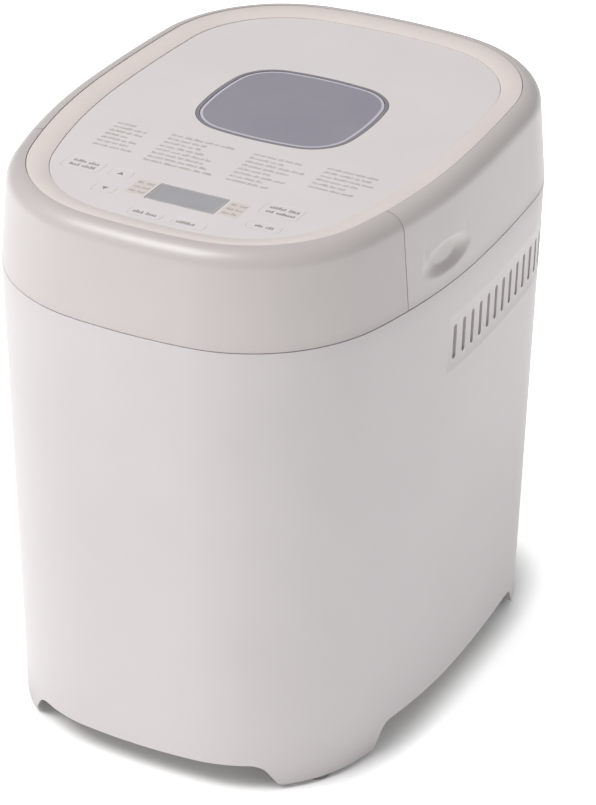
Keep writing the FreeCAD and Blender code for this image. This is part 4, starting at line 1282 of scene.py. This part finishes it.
# %% Weld and smooth the carried-over pieces, and give them their finishes
def weld_and_smooth():
    tree, given = new_tree("weld_and_smooth", [("Sharp From", "NodeSocketFloat")])
    welded = add(tree, "GeometryNodeMergeByDistance", {
        "Geometry": given["Geometry"], "Distance": 0.005 * MM,
    })
    angle = add(tree, "GeometryNodeInputMeshEdgeAngle")
    gentle = add(tree, "FunctionNodeCompare", {
        0: angle.outputs["Unsigned Angle"], 1: given["Sharp From"],
    }, data_type="FLOAT", operation="LESS_THAN")
    faces = add(tree, "GeometryNodeSetShadeSmooth", {"Geometry": welded.outputs[0]})
    edges = add(tree, "GeometryNodeSetShadeSmooth", {
        "Geometry": faces.outputs[0], "Shade Smooth": gentle.outputs[0],
    }, domain="EDGE")
    add(tree, "NodeGroupOutput", {"Geometry": edges.outputs[0]})
    return tree


WELD = weld_and_smooth()
print("weld tree ready:", len(WELD.nodes), "nodes")

# %% The finishes of the carried-over pieces
SHARP_FROM = math.radians(32)
FINISHES = {
    INNER_PPS: "lid_inner_cover lid_inner_plate base_plate top_deck drive_bridge bearing_housing",
    BRUSHED_STEEL: "case_screws lid_screws hinge_pins pan_handle drive_shaft motor_shaft blade_shaft",
    ALUMINISED: "oven_chamber heater_brackets pan_seat motor_bracket thermal_fuse",
    HEATER_SHEATH: "heating_element temperature_sensor",
    STEATITE: "heater_terminals",
    ZINC_CAN: "motor",
    BRONZE: "pan_bush",
    DIE_CAST: "drive_coupling wing_coupling pan_base_ring",
    NON_STICK: "bread_pan kneading_blade",
    NYLON: "drive_pulley motor_pulley",
    RUBBER: "cord_inlet lid_gasket drive_belt",
    BOARD: "power_board display_board",
    BLACK_PLASTIC: "board_components tact_switches lcd_module",
}


def dressed(node, finish):
    """Assign a finish to a carried-over piece, and weld and smooth it as it is shown."""
    if not node.material_slots:
        node.data.materials.append(finish)
    for place in node.material_slots:
        place.link = "OBJECT"
        place.material = finish
    modifier = node.modifiers.new("weld_and_smooth", "NODES")
    modifier.node_group = WELD
    for item in WELD.interface.items_tree:
        if item.name == "Sharp From":
            modifier[item.identifier] = SHARP_FROM


dressed_names = set()
for finish, names in FINISHES.items():
    for name in names.split():
        dressed(nodes[name], finish)
        dressed_names.add(name)
print("dressed", len(dressed_names), "carried-over pieces")

# %% [markdown]
# Each new piece rides on the body that moves it, and stands for the node that it replaces.
# The frame keeps that node for collision and hides it here. A key's printed legend is joined
# to its cap first, so that the two move as one.

# %% Rides and replaced nodes
def fitted(piece, body, slot, *replaced):
    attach(piece, body)
    if replaced:
        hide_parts(*replaced)


print("fitting helper ready")

# %% Fit every new piece
# Cutting and joining leave extra material slots, so the three shells get their finish again.
finished(casing, CASING_ABS)
finished(collar, COLLAR_ABS)
finished(skirt, LID_ABS)
fitted(baffle, "base", "shell")
fitted(casing, "base", "shell", "outer_casing")
fitted(collar, "base", "shell", "front_collar")
fitted(feet, "base", "rubber", "rubber_feet")
fitted(skirt, "lid", "shell", "lid_shell")
fitted(ring, "lid", "ring", "trim_ring")
fitted(panel, "lid", "panel", "top_panel")
fitted(window_ring, "lid", "window", "window_frame")
fitted(pane, "lid", "window", "window_glass")
fitted(oven_pane, "lid", "window", "inner_window")
fitted(lens, "lid", "display", "lcd_lens")
for name, cap in key_caps.items():
    for extra in (cap_print.get(name), arrows.get(name)):
        if extra:
            joined(cap, extra)
    fitted(cap, "key_" + name + "_cap", "panel", "key_" + name)

replaced_names = {
    "outer_casing", "front_collar", "rubber_feet", "lid_shell", "trim_ring", "top_panel",
    "window_frame", "window_glass", "inner_window", "lcd_lens",
} | {"key_" + name for name in KEYS}
left_over = set(nodes) - dressed_names - replaced_names
print("nodes with no finish:", sorted(left_over))

# %% [markdown]
# The machine stands on a plain white floor that glows by itself. That glow is painted light, not a
# lamp, and keeps the ground white.
# The glow is turned down over the machine's footprint, which paints a soft shade under the
# casing. Fourth powers of x and y, added up, have level lines like rounded rectangles,
# which is the shape of the footprint.

# %% The floor, whose own glow paints light and, over the footprint, shade
TABLE_HALF = 8.0
PAINTED_SHADE_HALF_X, PAINTED_SHADE_HALF_Y = 108 * MM, 143 * MM
PAINTED_SHADE_SHIFT = 0.034  # moves the shade to the body's middle, in half depths
PAINTED_GLOW_FROM, PAINTED_GLOW_FULL = 0.6, 1.35
PAINTED_GLOW_LEAST, PAINTED_GLOW_MOST = 0.05, 0.6
corners = [(x * TABLE_HALF, y * TABLE_HALF, 0) for x, y in ((-1, -1), (1, -1), (1, 1), (-1, 1))]
floor = new_piece("floor", corners, faces=[(0, 1, 2, 3)])
paper, paper_tree, paper_shader, paper_place = new_finish(
    "white_paper_with_painted_glow_and_shade", IOR=1.45, Specular_IOR_Level=0.1, Emission_Color=linear("#FFFFFF"),
)
mottled(paper_tree, paper_shader, paper_place, "#F9F9F9", "#FAFAFA", 200)
grained(paper_tree, paper_shader, paper_place, 3.0, 0.01, 0.85, 0.95)
shifted = add(paper_tree, "ShaderNodeMapping", {
    "Vector": paper_place, "Location": (0, PAINTED_SHADE_SHIFT, 0),
    "Scale": (1 / PAINTED_SHADE_HALF_X, 1 / PAINTED_SHADE_HALF_Y, 1),
})
across = add(paper_tree, "ShaderNodeSeparateXYZ", {"Vector": shifted.outputs[0]})


def fourth_power(axis):
    size = add(paper_tree, "ShaderNodeMath", {0: across.outputs[axis]}, operation="ABSOLUTE")
    return add(paper_tree, "ShaderNodeMath", {0: size.outputs[0], 1: 4.0}, operation="POWER").outputs[0]


reach = add(paper_tree, "ShaderNodeMath", {0: fourth_power("X"), 1: fourth_power("Y")}, operation="ADD")
# The floor's emission is painted light: full far out, fading to almost nothing over the footprint,
# which paints the soft shade under the casing.
painted_glow = add(paper_tree, "ShaderNodeMapRange", {
    "Value": reach.outputs[0], "From Min": PAINTED_GLOW_FROM, "From Max": PAINTED_GLOW_FULL,
    "To Min": PAINTED_GLOW_LEAST, "To Max": PAINTED_GLOW_MOST,
}, interpolation_type="SMOOTHSTEP")
paper_tree.links.new(painted_glow.outputs["Result"], paper_shader.inputs["Emission Strength"])
floor.data.materials.append(paper)
print("light table staged, glow from", PAINTED_GLOW_LEAST, "to", PAINTED_GLOW_MOST)

# %% [markdown]
# One large soft light stands high and a little to the front left. The surround is white
# and even, only brighter overhead, as under a big diffuser. Large sources give broad, quiet
# highlights on the shoulder and let the gentle bow of the walls show.

# %% The surround and the soft light
SURROUND_LEVEL, SURROUND_OVERHEAD = 0.29, 0.6
world = bpy.data.worlds.new("pale_surround")
world.use_nodes = True
world_tree = world.node_tree
backdrop = world_tree.nodes["Background"]
backdrop.inputs["Color"].default_value = linear("#FFFFFF")
sky = add(world_tree, "ShaderNodeTexCoord")
height = add(world_tree, "ShaderNodeSeparateXYZ", {"Vector": sky.outputs["Generated"]})
brighter = add(world_tree, "ShaderNodeMapRange", {
    "Value": height.outputs["Z"], "From Min": 0.0, "From Max": 1.0,
    "To Min": SURROUND_LEVEL, "To Max": SURROUND_OVERHEAD,
})
world_tree.links.new(brighter.outputs["Result"], backdrop.inputs["Strength"])
bpy.context.scene.world = world


def soft_light(name, place, aim, size, power):
    lamp = bpy.data.lights.new(name, "AREA")
    lamp.size = size
    lamp.energy = power
    light = bpy.data.objects.new(name, lamp)
    light.location = place
    light.rotation_euler = (Vector(aim) - Vector(place)).to_track_quat("-Z", "Y").to_euler()
    bpy.context.scene.collection.objects.link(light)


LIGHT_AT, LIGHT_AIM = (-1.1, -1.5, 3.0), (0, 0, 150 * MM)
LIGHT_SIZE, LIGHT_POWER = 1.7, 96
soft_light("key_light", LIGHT_AT, LIGHT_AIM, LIGHT_SIZE, LIGHT_POWER)
print("soft light of", LIGHT_SIZE, "m at", LIGHT_AT)

# %% [markdown]
# The camera looks down from the right front with a long lens, far enough away that upright
# lines hardly converge. It is set by what it aims at, its turn round the machine, its tilt
# and its distance, and its three axes are worked out from those.

# %% The camera
TARGET = Vector((21.7, -19.9, 150)) * MM
YAW, PITCH, ROLL = (math.radians(a) for a in (27.30, 29.70, 0.62))
DISTANCE = 1725.1 * MM
LENS_MM, SENSOR_MM = 156.5, 36
back = Vector((math.sin(YAW) * math.cos(PITCH), -math.cos(YAW) * math.cos(PITCH), math.sin(PITCH)))
right = Vector((math.cos(YAW), math.sin(YAW), 0))
up = back.cross(right)
axis_x = right * math.cos(ROLL) + up * math.sin(ROLL)
axis_y = up * math.cos(ROLL) - right * math.sin(ROLL)
lens_data = bpy.data.cameras.new("camera")
lens_data.lens = LENS_MM
lens_data.sensor_width = SENSOR_MM
lens_data.clip_start = 50 * MM
camera = bpy.data.objects.new("camera", lens_data)
turn = Matrix((axis_x, axis_y, back)).transposed().to_4x4()
camera.matrix_world = Matrix.Translation(TARGET + back * DISTANCE) @ turn
bpy.context.scene.collection.objects.link(camera)
bpy.context.scene.camera = camera
bpy.context.scene.view_settings.view_transform = "Standard"
print("camera at", [round(v, 3) for v in camera.matrix_world.translation])
